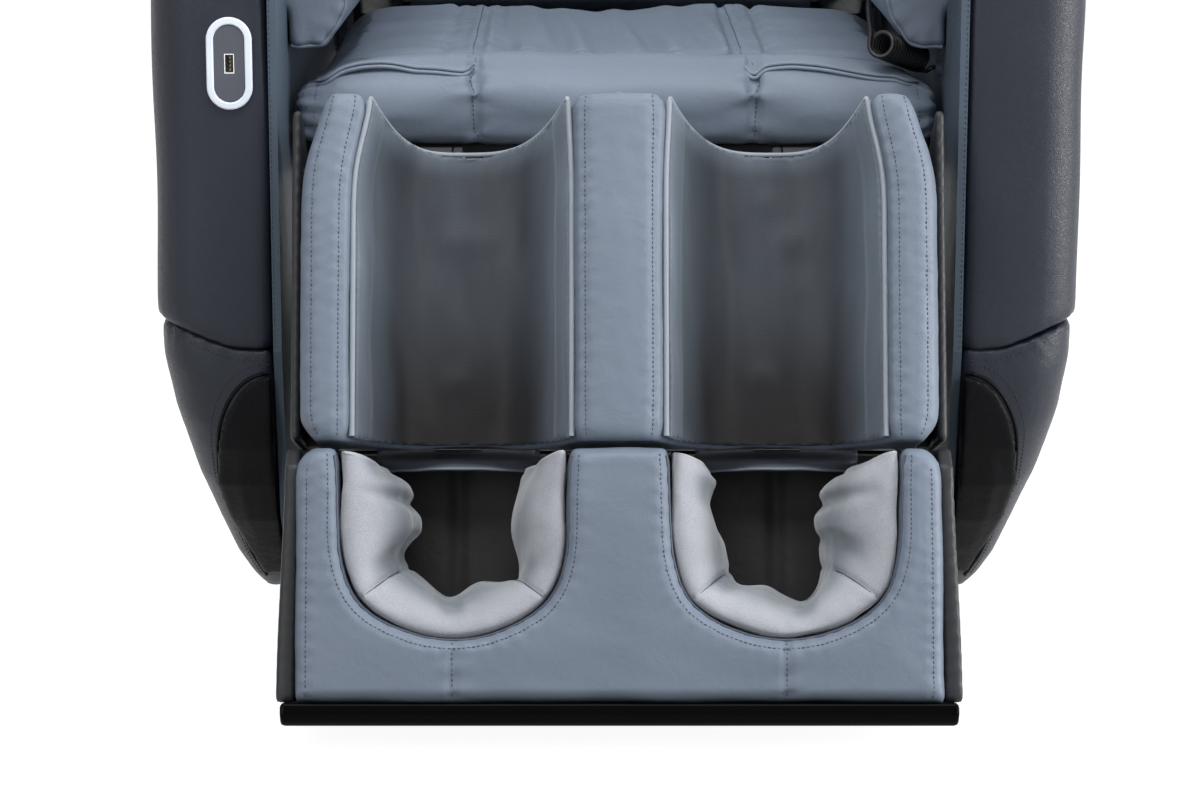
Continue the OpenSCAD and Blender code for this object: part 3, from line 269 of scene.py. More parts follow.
scene.world = bpy.data.worlds.new("studio")
scene.world.use_nodes = True
tree = scene.world.node_tree
sky = tree.nodes["Background"]
sky.inputs["Color"].default_value = (0.94, 0.97, 1, 1)
sky.inputs["Strength"].default_value = 0.36
white = add(tree, "ShaderNodeBackground", {"Strength": 1.0})
shown_as(tree, sky.outputs[0], white, tree.nodes["World Output"])

for name, place, aim, size, power in (
        ("top_light", (0.0, -1.1, 2.05), (0, -0.2, 0.45), (2.0, 0.9), 35),
        ("left_light", (-1.7, -2.7, 1.3), (-0.2, -0.1, 0.55), (0.6, 2.0), 21),
        ("right_light", (2.2, -2.4, 1.3), (0.2, -0.1, 0.55), (0.5, 2.0), 25),
        ("right_rim_light", (2.6, -0.8, 0.6), (0.35, -0.1, 0.5), (0.6, 1.1), 60),
        ("rear_light", (0, 2.6, 2.6), (0, 0, 0.7), (2.4, 1.2), 26)):
    lamp = bpy.data.lights.new(name, "AREA")
    lamp.shape = "RECTANGLE"
    lamp.size, lamp.size_y = size
    lamp.energy = power
    light = new_object(name, lamp)
    light.location = place
    light.rotation_euler = (Vector(aim) - Vector(place)).to_track_quat("-Z", "Y").to_euler()

# The steel frame: square tubes welded together, powder-coated black, on four rubber glides, with two
# transport wheels at the rear; bright pins carry the leg rest, the backrest and both actuators.


def eased_edges(obj, width, angle=40, segments=2):
    """Rounds a piece's sharp edges."""
    ease = obj.modifiers.new("ease", "BEVEL")
    ease.width = width
    ease.segments = segments
    ease.limit_method = "ANGLE"
    ease.angle_limit = math.radians(angle)


def dressed(node, material, bevel=0.0):
    """A CAD node shown with its real finish, its sharp edges eased."""
    obj = nodes[node]
    obj.data.materials.clear()
    obj.data.materials.append(material)
    if bevel:
        obj.modifiers.new("weld", "WELD").merge_threshold = 0.00001
        eased_edges(obj, bevel)


def powder_coat(name, colour):
    material, tree, inputs = shader_of(name, 0.45)
    orange_peel = texture(tree, "Noise", 700, Detail=2)
    feed(tree, inputs["Base Color"], toned(tree, texture(tree, "Noise", 14, Detail=3), colour, 0.85, 1.25))
    feed(tree, inputs["Roughness"], shade(tree, orange_peel, 0.38, 0.55))
    raised(tree, inputs, orange_peel, 0.00006)
    return material


def steel(name, colour, rough=0.3, stretch=(1, 30, 30)):
    """Metal with fine lines, as drawn, ground or plated."""
    material, tree, inputs = shader_of(name, rough, metal=1.0)
    lines = texture(tree, "Noise", 60, stretch, Detail=4)
    feed(tree, inputs["Base Color"], toned(tree, lines, colour, 0.82, 1.08))
    feed(tree, inputs["Roughness"], shade(tree, lines, rough - 0.07, rough + 0.14))
    raised(tree, inputs, lines, 0.00003)
    return material


def plastic(name, colour, rough=0.45, grain=1400, depth=0.00004, coat=0.0, specular=0.4):
    """Moulded plastic with a fine even grain."""
    material, tree, inputs = shader_of(name, rough, coat=coat, specular=specular)
    broad = texture(tree, "Noise", 11, Detail=3)
    feed(tree, inputs["Base Color"], toned(tree, broad, colour, 0.9, 1.12))
    feed(tree, inputs["Roughness"], shade(tree, broad, rough - 0.05, rough + 0.06))
    raised(tree, inputs, texture(tree, "Voronoi", grain, settings={"feature": "SMOOTH_F1"}), depth)
    return material


frame_black = powder_coat("frame_black", (0.022, 0.023, 0.026))
bright_steel = steel("bright_steel", (0.62, 0.62, 0.64))
for node in ("base_frame", "seat_frame"):
    dressed(node, frame_black, 0.002)
dressed("floor_glides", rubber("glide_rubber", (0.02, 0.02, 0.02), 0.7))
dressed("transport_wheels", rubber("wheel_tyre", (0.035, 0.036, 0.04), 0.6), 0.0012)
dressed("hinge_pins", bright_steel)

# Side pods: foam over a board, covered in charcoal leather in two pieces, an upper and a lower cover,
# sewn together in a curved seam with a row of dark topstitches below it.
POD_IN, POD_OUT, POD_FRONT, POD_CORNER = 283.3, 382, 90, 44
POD_BOTTOM, POD_SEAM, SEAM_RISE = 52, 284, 22


def built(name, shape):
    """A bmesh as a new object."""
    mesh = bpy.data.meshes.new(name)
    shape.to_mesh(mesh)
    shape.free()
    return new_object(name, mesh)


def copy_of(name, node):
    """A welded copy of a CAD node's mesh."""
    shape = bmesh.new()
    shape.from_mesh(nodes[node].data)
    bmesh.ops.remove_doubles(shape, verts=shape.verts, dist=0.000005)
    bmesh.ops.dissolve_degenerate(shape, edges=shape.edges, dist=0.000005)
    return built(name, shape)


def settle(obj):
    """The object's mesh with its modifiers worked in and taken off."""
    mesh = bpy.data.meshes.new_from_object(obj.evaluated_get(bpy.context.evaluated_depsgraph_get()))
    obj.modifiers.clear()
    old = obj.data
    obj.data = mesh
    mesh.name = old.name
    bpy.data.meshes.remove(old)
    return obj


def even(obj, size):
    """The mesh made again of even squares of about the given size."""
    remesh = obj.modifiers.new("even", "REMESH")
    remesh.mode = "VOXEL"
    remesh.voxel_size = size
    remesh.use_smooth_shade = True
    return settle(obj)


def points_of(obj):
    co = np.empty(len(obj.data.vertices) * 3)
    obj.data.vertices.foreach_get("co", co)
    return co.reshape(-1, 3)


def normals_of(obj):
    n = np.empty(len(obj.data.vertices) * 3)
    obj.data.vertex_normals.foreach_get("vector", n)
    return n.reshape(-1, 3)


def put(obj, co):
    obj.data.vertices.foreach_set("co", np.ascontiguousarray(co, dtype=np.float32).ravel())
    obj.data.update()
    return obj


def relax(obj, rounds):
    """Evens out facets and corners; every second round swells it back."""
    edges = np.empty(len(obj.data.edges) * 2, np.int32)
    obj.data.edges.foreach_get("vertices", edges)
    a, b = edges[::2], edges[1::2]
    co = points_of(obj)
    n = len(co)
    count = np.maximum(np.bincount(edges, minlength=n), 1)[:, None]
    for k in range(rounds):
        total = [np.bincount(a, co[b, c], n) + np.bincount(b, co[a, c], n) for c in range(3)]
        co += (-0.51 if k % 2 else 0.5) * (np.stack(total, 1) / count - co)
    return put(obj, co)


def soft(name, node, size, rounds):
    """A cushion's or shell's skin: a CAD node's shape in even squares, with its edges relaxed."""
    return relax(even(copy_of(name, node), size), rounds)


def ripple(p, size, seed, count=7):
    """Smooth waves with no pattern, from about -1 to 1; size is their width."""
    draw = np.random.default_rng(seed)
    total = np.zeros(len(p))
    for _ in range(count):
        way = unit(draw.normal(size=3))
        pace = 2 * math.pi / size * draw.uniform(0.6, 1.5)
        total += np.sin(p @ way * pace + draw.uniform(0, 2 * math.pi))
    return total / (0.5 * count)


def rumpled(obj, *waves, mask=1, more=0):
    """A piece made a little uneven along its normals; each wave is its height, width and seed."""
    co, n = points_of(obj), normals_of(obj)
    push = sum((height * ripple(co, width, seed) for height, width, seed in waves), more) * mask
    return put(obj, co + n * push[:, None])


def nearest(p, lines):
    """For each point its distance to the nearest of the lines, and how far along them that is."""
    joined = np.vstack(lines)
    tree = KDTree(len(joined))
    for i, c in enumerate(joined):
        tree.insert(c, i)
    tree.balance()
    found = [tree.find(c)[1:] for c in p]
    step = np.linalg.norm(joined[1] - joined[0])
    return np.array([f[1] for f in found]), np.array([f[0] for f in found]) * step


def sewn(obj, lines, width, depth, pucker=0.0, pitch=0.012, reach=0.014, seed=1):
    """Presses seams into a piece, with small puckers along them."""
    co, n = points_of(obj), normals_of(obj)
    gap, along = nearest(co, lines)
    push = -depth * np.exp(-(gap / width) ** 2)
    if pucker:
        beat = np.sin(2 * math.pi * along / pitch + 2.2 * ripple(co, 0.09, seed))
        push += pucker * beat * np.exp(-(gap / reach) ** 2) * (1 + 0.6 * ripple(co, 0.07, seed + 1))
    return put(obj, co + n * push[:, None])


def laid_on(obj, line, lift=0.0):
    """A line drawn on a piece's surface: each point goes to the nearest place of the surface."""
    tree = BVHTree.FromObject(obj, bpy.context.evaluated_depsgraph_get())
    found = [tree.find_nearest(Vector(p)) for p in line]
    run = np.array([f[0] + f[1] * lift for f in found])
    for _ in range(6):
        run[1:-1] = (run[:-2] + 2 * run[1:-1] + run[2:]) / 4
    return run


def drawn(obj, points, place=on_seat, step=0.002, lift=0.0):
    """A line on a piece's surface, through places given in millimetres of a frame."""
    return laid_on(obj, spaced(place(points), step), lift)


def ridden(obj, body, slot, material=None, replaces=(), fill=None):
    """Attaches a piece to the body it moves with, gives it a material, and hides the CAD nodes that it stands
    for; its slot is not used.
    """
    if material:
        obj.data.materials.clear()
        obj.data.materials.append(material)
    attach(obj, body)
    if replaces:
        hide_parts(*replaces)
    return obj


def mix(tree, share, first, second, blend="MIX"):
    return add(tree, "ShaderNodeMix", {0: share, 6: first, 7: second}, 2, data_type="RGBA", blend_type=blend)


def leather(name, colour, rough=0.42, pebble=900, depth=0.00016, crease=0.0, sheen=0.0, specular=0.45):
    """Grained leather: small pebbles, a few fine creases, worn a little lighter on its edges."""
    material, tree, inputs = shader_of(name, rough, sheen=sheen, specular=specular)
    tone = toned(tree, texture(tree, "Noise", 7, Detail=3), colour, 0.93, 1.06)
    edge = shade(tree, add(tree, "ShaderNodeNewGeometry", out="Pointiness"), 0.0, 0.5, 0.52, 0.6)
    feed(tree, inputs["Base Color"], mix(tree, edge, tone, (*scaled(colour, 1.35), 1)))
    fine = texture(tree, "Noise", pebble * 0.5, Detail=3)
    feed(tree, inputs["Roughness"], shade(tree, fine, rough - 0.06, rough + 0.09))
    if crease:
        raised(tree, inputs, texture(tree, "Noise", 55, Detail=5, Distortion=1.2), crease)
    cells = texture(tree, "Voronoi", pebble, settings={"feature": "DISTANCE_TO_EDGE"})
    raised(tree, inputs, shade(tree, cells, 0.0, 1.0, 0.0, 0.35), depth, 0.6)
    return material


def line_object(name, lines):
    verts, edges = [], []
    for run in lines:
        b = len(verts)
        verts += [tuple(p) for p in run]
        edges += [(b + i, b + i + 1) for i in range(len(run) - 1)]
    mesh = bpy.data.meshes.new(name)
    mesh.from_pydata(verts, edges, [])
    return new_object(name, mesh)


def node_tree(name, sizes):
    """A geometry tree with a mesh in and out, named sizes and a material; gives back what it is given."""
    tree = bpy.data.node_groups.new(name, "GeometryNodeTree")
    for way in ("INPUT", "OUTPUT"):
        tree.interface.new_socket("Geometry", in_out=way, socket_type="NodeSocketGeometry")
    for size, value in sizes.items():
        tree.interface.new_socket(size, in_out="INPUT", socket_type="NodeSocketFloat").default_value = value
    tree.interface.new_socket("Material", in_out="INPUT", socket_type="NodeSocketMaterial")
    return tree, tree.nodes.new("NodeGroupInput").outputs


def end_of(tree, shape, given):
    """Realize Instances and Set Material, as each tree ends."""
    real = add(tree, "GeometryNodeRealizeInstances", {"Geometry": shape})
    smooth = add(tree, "GeometryNodeSetShadeSmooth", {"Geometry": real})
    add(tree, "GeometryNodeSetMaterial", {"Geometry": smooth, "Material": given["Material"]})
    painted = tree.nodes[-1].outputs[0]
    feed(tree, tree.nodes.new("NodeGroupOutput").inputs["Geometry"], painted)
    return tree


def stitch_tree():
    """Threads laid end to end along a line: one small bead for each stitch."""
    tree, given = node_tree("Stitches", {"Spacing": 0.0038, "Length": 0.0026, "Thickness": 0.0009})
    curve = add(tree, "GeometryNodeMeshToCurve", {"Mesh": given["Geometry"]})
    steps = add(tree, "GeometryNodeResampleCurve", {"Curve": curve, "Length": given["Spacing"]},
                mode="LENGTH")
    bead = add(tree, "GeometryNodeMeshUVSphere", {"Segments": 6, "Rings": 4, "Radius": 0.5}, "Mesh")
    size = add(tree, "ShaderNodeCombineXYZ",
               {"X": given["Thickness"], "Y": given["Thickness"], "Z": given["Length"]})
    stitch = add(tree, "GeometryNodeTransform", {"Geometry": bead, "Scale": size})
    along = add(tree, "GeometryNodeInputTangent")
    aim = add(tree, "FunctionNodeAlignRotationToVector", {"Vector": along}, axis="Z")
    row = add(tree, "GeometryNodeInstanceOnPoints", {"Points": steps, "Instance": stitch, "Rotation": aim})
    return end_of(tree, row, given)


def piping_tree():
    """A round cord covered in leather, along a line."""
    tree, given = node_tree("Piping", {"Radius": 0.002})
    curve = add(tree, "GeometryNodeMeshToCurve", {"Mesh": given["Geometry"]})
    ring = add(tree, "GeometryNodeCurvePrimitiveCircle", {"Resolution": 8, "Radius": given["Radius"]},
               "Curve")
    cover = add(tree, "GeometryNodeCurveToMesh", {"Curve": curve, "Profile Curve": ring, "Fill Caps": True})
    return end_of(tree, cover, given)


STITCHES, PIPING = stitch_tree(), piping_tree()


def along_lines(tree, name, lines, body, slot, material, **sizes):
    """A plain mesh made by a geometry tree along lines, riding on a body."""
    obj = line_object(name, lines)
    modifier = obj.modifiers.new(tree.name, "NODES")
    modifier.node_group = tree
    for size, value in {**sizes, "Material": material}.items():
        modifier[tree.interface.items_tree[size].identifier] = value
    return ridden(settle(obj), body, slot)


def stitched(obj, name, lines, body, slot, thread, lift=0.0002, **sizes):
    """Rows of stitches on a piece."""
    along_lines(STITCHES, name, [laid_on(obj, r, lift) for r in lines], body, slot, thread, **sizes)


def piped(obj, name, lines, body, slot, cover, lift, radius):
    """Piping on a piece."""
    along_lines(PIPING, name, [laid_on(obj, r, lift) for r in lines], body, slot, cover, Radius=radius)


def seam_z(x):
    t = np.clip((np.abs(x) - POD_IN - 20) / (POD_OUT - POD_IN - 20), 0, 1)
    return POD_SEAM + SEAM_RISE * t * t * (3 - 2 * t)


def pod_edge(side, drop):
    """A line round a pod's front, outer side and rear, drop below the seam."""
    out = POD_OUT - 2
    run = [(x, -POD_FRONT) for x in np.linspace(POD_IN + 3, out - POD_CORNER, 12)]
    run += [(out - POD_CORNER + POD_CORNER * math.cos(a), -POD_FRONT + POD_CORNER + POD_CORNER * math.sin(a))
            for a in np.radians(np.linspace(-84, 0, 14))]
    run += [(out, y) for y in np.linspace(-36, 655, 60)]
    p = np.array([(x, y, seam_z(x) - drop) for x, y in run])
    p[:, 0] *= side
    return spaced(on_seat(p), 0.002)


CHARCOAL = "leather_charcoal", leather("charcoal_leather", (0.0185, 0.0222, 0.0330), 0.38, 780, 0.00016,
                                       0.0004, specular=0.25)
thread_dark = rubber("thread_dark", (0.012, 0.013, 0.016), 0.6, 2000)
DARK_THREAD = "leather_charcoal", thread_dark
topstitch, lowers = [], {}
for name, side in SIDES:
    for part, size in (("cover", 0.005), ("lower", 0.0045)):
        piece = soft(f"pod_{part}_{name}_leather", f"pod_{part}_{name}", size, 24)
        rumpled(piece, (0.0009, 0.13, 11 + side))
        if part == "lower":
            lowers[side] = piece
            sewn(piece, [pod_edge(side, 8)], 0.003, 0.0012, 0.0003, 0.016, 0.010, 5)
            topstitch.append(laid_on(piece, pod_edge(side, 8), 0.0001))
        ridden(piece, "base", *CHARCOAL, (f"pod_{part}_{name}",))
along_lines(STITCHES, "pod_topstitches", topstitch, "base", *DARK_THREAD, Spacing=0.0042)

# Kick panels: black padded leather, D-shaped, let into the inner lower front of each pod, with a thin
# piping round them and an arc of topstitches outside it.
BLACK = "leather_black", leather("black_leather", (0.0042, 0.0044, 0.0054), 0.38, 700, 0.0002, 0.0006,
                                 specular=0.08)


def kick_line(side, more):
    """A line round the D on a pod, outside its edge by more."""
    top = 263 + more
    p = []
    for z in [*np.linspace(66, 205, 24), *(top - (top - 205) * np.linspace(1, 0, 22) ** 2)]:
        v = (z - POD_BOTTOM) / (POD_SEAM - POD_BOTTOM)
        pod_side = POD_OUT - 2 - 72 * (1 - v) ** 1.6
        bulge = 50 * math.sqrt(max(0, 1 - abs((z - 72) / (191 + more)) ** 4)) + 3
        x = POD_IN + 1 + (min(bulge, pod_side - POD_IN - 16) + more)
        p.append((side * x, -POD_FRONT + 110 * (1 - v) ** 2.2, z))
    p += [(side * (POD_IN + x), -POD_FRONT, top) for x in (14, 8, 2)]
    return spaced(on_seat(p), 0.002)


panels = rumpled(soft("kick_panel_leather", "pod_kick_panels", 0.0022, 8), (0.0006, 0.06, 21))
ridden(panels, "base", *BLACK, ("pod_kick_panels",))
along_lines(PIPING, "kick_panel_piping", [laid_on(lowers[s], kick_line(s, 2), 0.0004) for s in (-1, 1)],
            "base", *BLACK, Radius=0.0017)
along_lines(STITCHES, "kick_panel_stitches", [laid_on(lowers[s], kick_line(s, 9), 0.0002) for s in (-1, 1)],
            "base", *DARK_THREAD, Spacing=0.0042)

# Inner panels: light blue-grey boards that line the pods towards the seat; their front edge shows as a
# narrow strip with a row of stitches.
panel_grey = leather("panel_grey", (0.070, 0.093, 0.122), 0.5, 900, 0.0001, specular=0.15)
dressed("pod_inner_panels", panel_grey, 0.0016)
along_lines(STITCHES, "inner_panel_stitches",
            [on_seat([[s * 281.6, -92.2, z] for z in (288, 632)]) for s in (-1, 1)],
            "base", "panel_light", thread_dark, Spacing=0.0045, Length=0.0026, Thickness=0.0007)

# Charging port: a pale satin ring round a dark face, and in it a nickel-plated socket with its dark tongue
# and four gold contacts. The words below it are left off.
dressed("usb_bezel", plastic("bezel_silver", (0.74, 0.80, 0.88), 0.4, 2200, 0.00002, 0.2), 0.0012)
dressed("usb_faceplate", plastic("faceplate_grey", (0.075, 0.080, 0.100), 0.42, 2200, 0.00003), 0.0004)
dressed("usb_socket", steel("nickel", (0.86, 0.85, 0.82), 0.42, (20, 1, 20)))


def box_at(low, high, place=on_seat):
    """A cube between two corners, given in millimetres of a frame."""
    shape = bmesh.new()
    bmesh.ops.create_cube(shape, size=1)
    mid, size = (np.array(low, float) + high) / 2, np.array(high, float) - low
    for vert, p in zip(shape.verts, place([mid + np.array(v.co) * size for v in shape.verts])):
        vert.co = p
    return shape


def block(name, low, high, bevel, material, slot):
    """A small block with eased edges, for machined and moulded details."""
    shape = box_at(low, high)
    bmesh.ops.bevel(shape, geom=shape.edges, offset=bevel * MM, segments=2, affect="EDGES", profile=0.5)
    ridden(built(name, shape), "base", slot, material)


block("usb_tongue", (-313.1, -93.3, 515.4), (-311.5, -84, 528.6), 0.2,
      plastic("socket_black", (0.008, 0.008, 0.009), 0.5), "plastic_black")
gold = steel("contact_gold", (0.85, 0.62, 0.25), 0.25)
for k, z in enumerate((517.2, 520.4, 523.6, 526.8)):
    block(f"usb_contact_{k}", (-313.5, -93.0, z - 0.7), (-313.05, -86, z + 0.7), 0.1, gold, "steel")

# Arm pads: grey-blue leather over soft foam, a trough for the forearm hung over each pod's inner wall,
# with a piped seam round the front end.
GREY_COLOUR = (0.158, 0.192, 0.247)
GREY = "leather_grey", leather("grey_leather", GREY_COLOUR, 0.44, 900, 0.00014, 0.0005, specular=0.32)
piping_grey = leather("piping_grey", scaled(GREY_COLOUR, 0.95), 0.42, 1200, 0.0001)
piping_dark = leather("piping_dark", (0.045, 0.058, 0.08), 0.42, 1200, 0.0001)
thread_blue = rubber("thread_blue", (0.040, 0.050, 0.068), 0.6, 2000)
BLUE_THREAD, GREY_PIPING = ("leather_grey", thread_blue), ("leather_grey", piping_grey)
PAD_DROP = 7
PRESSURE, SWELL_FRAMES = 4.0, 20


def swell(obj, cap, free):
    """Blows a closed piece up a little as cloth, so that it crowns between its held places.
    free gives for each point, from 0 to 1, how far it may follow; cap is the most that it may move."""
    before = points_of(obj)
    cloth = obj.modifiers.new("stuffing", "CLOTH")
    cloth.settings.use_pressure = True
    cloth.settings.uniform_pressure_force = PRESSURE
    cloth.settings.effector_weights.gravity = 0
    cloth.settings.quality = 4
    cloth.settings.mass = 0.4
    cloth.point_cache.frame_end = SWELL_FRAMES
    for f in range(1, SWELL_FRAMES + 1):
        scene.frame_set(f)
    settled = obj.evaluated_get(bpy.context.evaluated_depsgraph_get())
    after = np.empty(len(before) * 3)
    settled.data.vertices.foreach_get("co", after)
    obj.modifiers.clear()
    scene.frame_set(1)
    move = after.reshape(-1, 3) - before
    far = np.linalg.norm(move, axis=1)[:, None]
    move *= np.minimum(1, cap / np.maximum(far, 1e-9)) * free[:, None]
    put(obj, before + move)


def ramp(v, start, end):
    """0 before start, 1 past end, and a smooth rise between them."""
    t = np.clip((v - start) / (end - start), 0, 1)
    return t * t * (3 - 2 * t)


def fade(v, start, end):
    """1 before start, 0 past end, and a smooth fall between them."""
    return 1 - ramp(v, start, end)


def off_seat(co):
    """The object's points as millimetres from the seat's front."""
    return co / MM + [0, SEAT_FRONT, 0]


for name, side in SIDES:
    pad = soft(f"arm_pad_{name}_leather", f"arm_pad_{name}", 0.0042, 8)
    q = off_seat(points_of(pad))
    q[:, 2] -= PAD_DROP * fade(q[:, 2], 540, 580)
    put(pad, on_seat(q))
    inner = fade(np.abs(q[:, 0]), 232, 262)
    swell(pad, 0.007, inner * ramp(q[:, 2], 530, 560) * ramp(q[:, 1], 16, 60))
    rim = drawn(pad, [[side * x, y, z] for x, y, z in ((223, 17, 640), (223, 16, 576), (226, 16, 550),
                                                       (241, 16, 526), (249, 16, 521.5), (274, 16, 521))])
    side_seam = drawn(pad, [[side * 222, y, 590] for y in (24, 450)], step=0.003)
    sewn(pad, [rim], 0.003, 0.0014, 0.0008, 0.014, 0.016, 31)
    sewn(pad, [side_seam], 0.003, 0.0016, 0.0008, 0.016, 0.016, 32)
    ridden(pad, "base", *GREY, (f"arm_pad_{name}",), 0.7)
    piped(pad, f"arm_pad_{name}_piping", [rim], "base", *GREY_PIPING, 0.0006, 0.0017)
    stitched(pad, f"arm_pad_{name}_stitches", [side_seam + [0, 0, -0.006]], "base", *BLUE_THREAD)

# Seat: a leather cushion over foam with a pleated centre between two sewn strips, and a separate front
# roll in three panels; the cushion's piped front edge lies on the roll and lifts a little at both sides.
SEAT_SEAMS, SEAT_MID, CENTRE_X = (-146, -118, 103, 131), -7.5, 111
ROLL_SEAMS, CENTRE_SEAMS = (-118, 114), ((1, -1), (2, 1))
COVER_ROWS, COVER_COLS, COVER_HALF, COVER_THICK = 26, 130, 256, 2.6
roll = soft("seat_roll_leather", "seat_front_roll", 0.004, 14)
q = off_seat(points_of(roll))
half = np.abs(q[:, 0])
swell(roll, 0.006, ramp(q[:, 2], 446, 470) * fade(half, 225, 262) * fade(q[:, 1], 62, 76))
roll_seams = [drawn(roll, [[x, 30, 512], [x, 8, 505], [x, -2, 490], [x, -2, 446]]) for x in ROLL_SEAMS]
sewn(roll, roll_seams, 0.0035, 0.004, 0.0008, 0.02, 0.02, 41)
co = points_of(roll)
q = off_seat(co)
gather = np.sin(np.arctan2(q[:, 2] - 470, q[:, 1] - 40) * 15 + 1.5 * ripple(co, 0.05, 43))
rumpled(roll, (0.0011, 0.10, 42), more=0.0016 * gather * ramp(np.abs(q[:, 0]), 238, 258))
ridden(roll, "base", *GREY, ("seat_front_roll",), 0.8)
end_seams = [drawn(roll, [[s * 252, 40 + 34 * math.cos(a), 474 + 32 * math.sin(a)]
                          for a in np.linspace(0.6, 3.6, 20)], lift=0.0004) for s in (-1, 1)]
along_lines(STITCHES, "seat_roll_stitches", [laid_on(roll, r, 0.0002) for r in roll_seams] + end_seams,
            "base", *BLUE_THREAD)


def pleats(co, q):
    """Uneven waves across the seat, and how far each point is in its pleated centre."""
    wave = (np.sin(q[:, 0] / 6.6 + 1.3 * ripple(co * [0.4, 1, 1], 0.3, 46))
            + 0.5 * np.sin(q[:, 0] / 4.1 + q[:, 1] / 60))
    return wave, fade(np.abs(q[:, 0] - SEAT_MID), CENTRE_X - 14, CENTRE_X - 2)


def heaved(obj, co, rise):
    """The piece with its points moved up by rise, in metres."""
    put(obj, co + np.stack([0 * rise, 0 * rise, rise], 1))


cushion = soft("seat_cushion_leather", "seat_cushion", 0.0045, 10)
q = off_seat(points_of(cushion))
swell(cushion, 0.010, ramp(q[:, 2], 462, 480) * fade(np.abs(q[:, 0]), 240, 258) * ramp(q[:, 1], 84, 130))
seat_seams = [drawn(cushion, [[x, 86, 498], [x, 110, 502], [x, 480, 500]]) for x in SEAT_SEAMS]
sewn(cushion, seat_seams, 0.004, 0.0035, 0.0008, 0.022, 0.02, 44)
co = points_of(cushion)
q = off_seat(co)
wave, centre = pleats(co, q)
rise = 2.6 * wave * centre * (0.35 + 0.65 * fade(q[:, 1], 200, 430))
broad = 1.6 * ripple(co, 0.16, 47) + 1.0 * ripple(co * [1, 0.4, 1], 0.05, 48) * (1 - centre) * 0.5
heaved(cushion, co, ramp(q[:, 2], 470, 488) * (rise + broad) * MM)
ridden(cushion, "base", *GREY, ("seat_cushion",), 0.7)
stitched(cushion, "seat_stitches", [seat_seams[k] + [s * 0.005, 0, 0] for k, s in CENTRE_SEAMS],
         "base", *BLUE_THREAD)


def lifted(x):
    """How far the cover's front edge stands off the roll: it lifts at both sides."""
    bumps = ((-254, -168, 6.5), (-205, -120, 2.0), (112, 222, 3.6))
    return sum(peak * np.sin(math.pi * np.clip((x - start) / (end - start), 0, 1)) ** 1.3
               for start, end, peak in bumps) + 0.3 * np.sin(x / 17)


def tucked(x):
    """1 where the pleated centre's edge is sewn down behind the roll's crest, 0 at both sides."""
    return fade(np.abs(x - SEAT_MID), CENTRE_X - 2, CENTRE_X + 8)


def cover_front(x):
    """How far back the cover's edge lies: on the roll's front at the sides, behind its crest between them."""
    return 13 + 1.0 * np.sin(x / 60) + 0.6 * lifted(x) + 26 * ramp(np.abs(x), 236, 262) ** 2 + 30 * tucked(x)


def closed_sheet(rows, cols, turned=False):
    """Faces of a thin sheet: rows by cols points on top, as many below them, and a band round its edge."""
    m = rows * cols
    faces = []
    for i in range(rows - 1):
        for p in range(i * cols, i * cols + cols - 1):
            faces += [(p, p + 1, p + cols + 1, p + cols), (m + p, m + p + cols, m + p + cols + 1, m + p + 1)]
    loop = [*range(cols), *range(2 * cols - 1, m, cols), *range(m - 2, m - cols - 1, -1),
            *range(m - 2 * cols, 0, -cols)]
    faces += [(a, m + a, m + b, b) for a, b in zip(loop, loop[1:] + loop[:1])]
    return [(f[0], *f[:0:-1]) for f in faces] if turned else faces


x = COVER_HALF * np.linspace(-1, 1, COVER_COLS)
below = [BVHTree.FromObject(obj, bpy.context.evaluated_depsgraph_get()) for obj in (roll, cushion)]
tops = []
for v in np.linspace(0, 1, COVER_ROWS):
    for xi, start, up, sunk in zip(x, cover_front(x), lifted(x), tucked(x)):
        y = start + (112 - start) * v
        at = Vector(on_seat([xi, y, 600])[0])
        hits = [hit[0].z / MM for hit in (tree.ray_cast(at, Vector((0, 0, -1))) for tree in below) if hit[0]]
        z = max(hits) if hits else 480
        tops.append([xi, y, z + 1.2 + up * (1 - v) ** 3 - 5.0 * sunk * max(0, 1 - 6 * v)])
grid = np.array(tops).reshape(COVER_ROWS, COVER_COLS, 3)
for _ in range(6):
    grid[1:-1, :, 2] = np.maximum(grid[1:-1, :, 2], (grid[:-2, :, 2] + grid[2:, :, 2]) / 2)
grid[:, 1:-1, 2] = (grid[:, :-2, 2] + 2 * grid[:, 1:-1, 2] + grid[:, 2:, 2]) / 4
tops = grid.reshape(-1, 3)
cover = mesh_object("seat_front_cover", on_seat(np.vstack([tops, tops - [0, 0, COVER_THICK]])),
                    closed_sheet(COVER_ROWS, COVER_COLS))
cover_seams = [drawn(cover, [[cx, 20, 512], [cx, 105, 505]]) for cx in SEAT_SEAMS]
sewn(cover, cover_seams, 0.0035, 0.0018)
co = points_of(cover)
q = off_seat(co)
wave, centre = pleats(co, q)
heaved(cover, co, (1.5 * wave * centre + 0.7 * ripple(co, 0.12, 49)) * MM * ramp(q[:, 1], 14, 60))
ridden(cover, "base", *GREY, (), 0.3)
edge_lines = []
for dy, dz in ((-0.8, -0.6), (-3.2, -4.0)):
    edge = np.stack([x, cover_front(x) + dy, grid[0, :, 2] + dz], 1)
    edge_lines += [spaced(on_seat(edge[part]), 0.003) for part in (x < -116, x > 101)]
along_lines(PIPING, "seat_edge_piping", edge_lines, "base", *GREY_PIPING, Radius=0.0018)
stitched(cover, "seat_cover_stitches", [cover_seams[k] + [s * 0.005, 0, 0] for k, s in CENTRE_SEAMS],
         "base", *BLUE_THREAD)

# Remote handset: a dark moulded case with a glossy screen and three keys, stood in a black holder that is
# screwed to the right pod's inner face.


def rounded(obj, bevel, angle=40, segments=2):
    eased_edges(obj, bevel, angle, segments)
    settle(obj)
    obj.data.shade_smooth()
    obj.data.set_sharp_from_angle(angle=math.radians(32))
    return obj


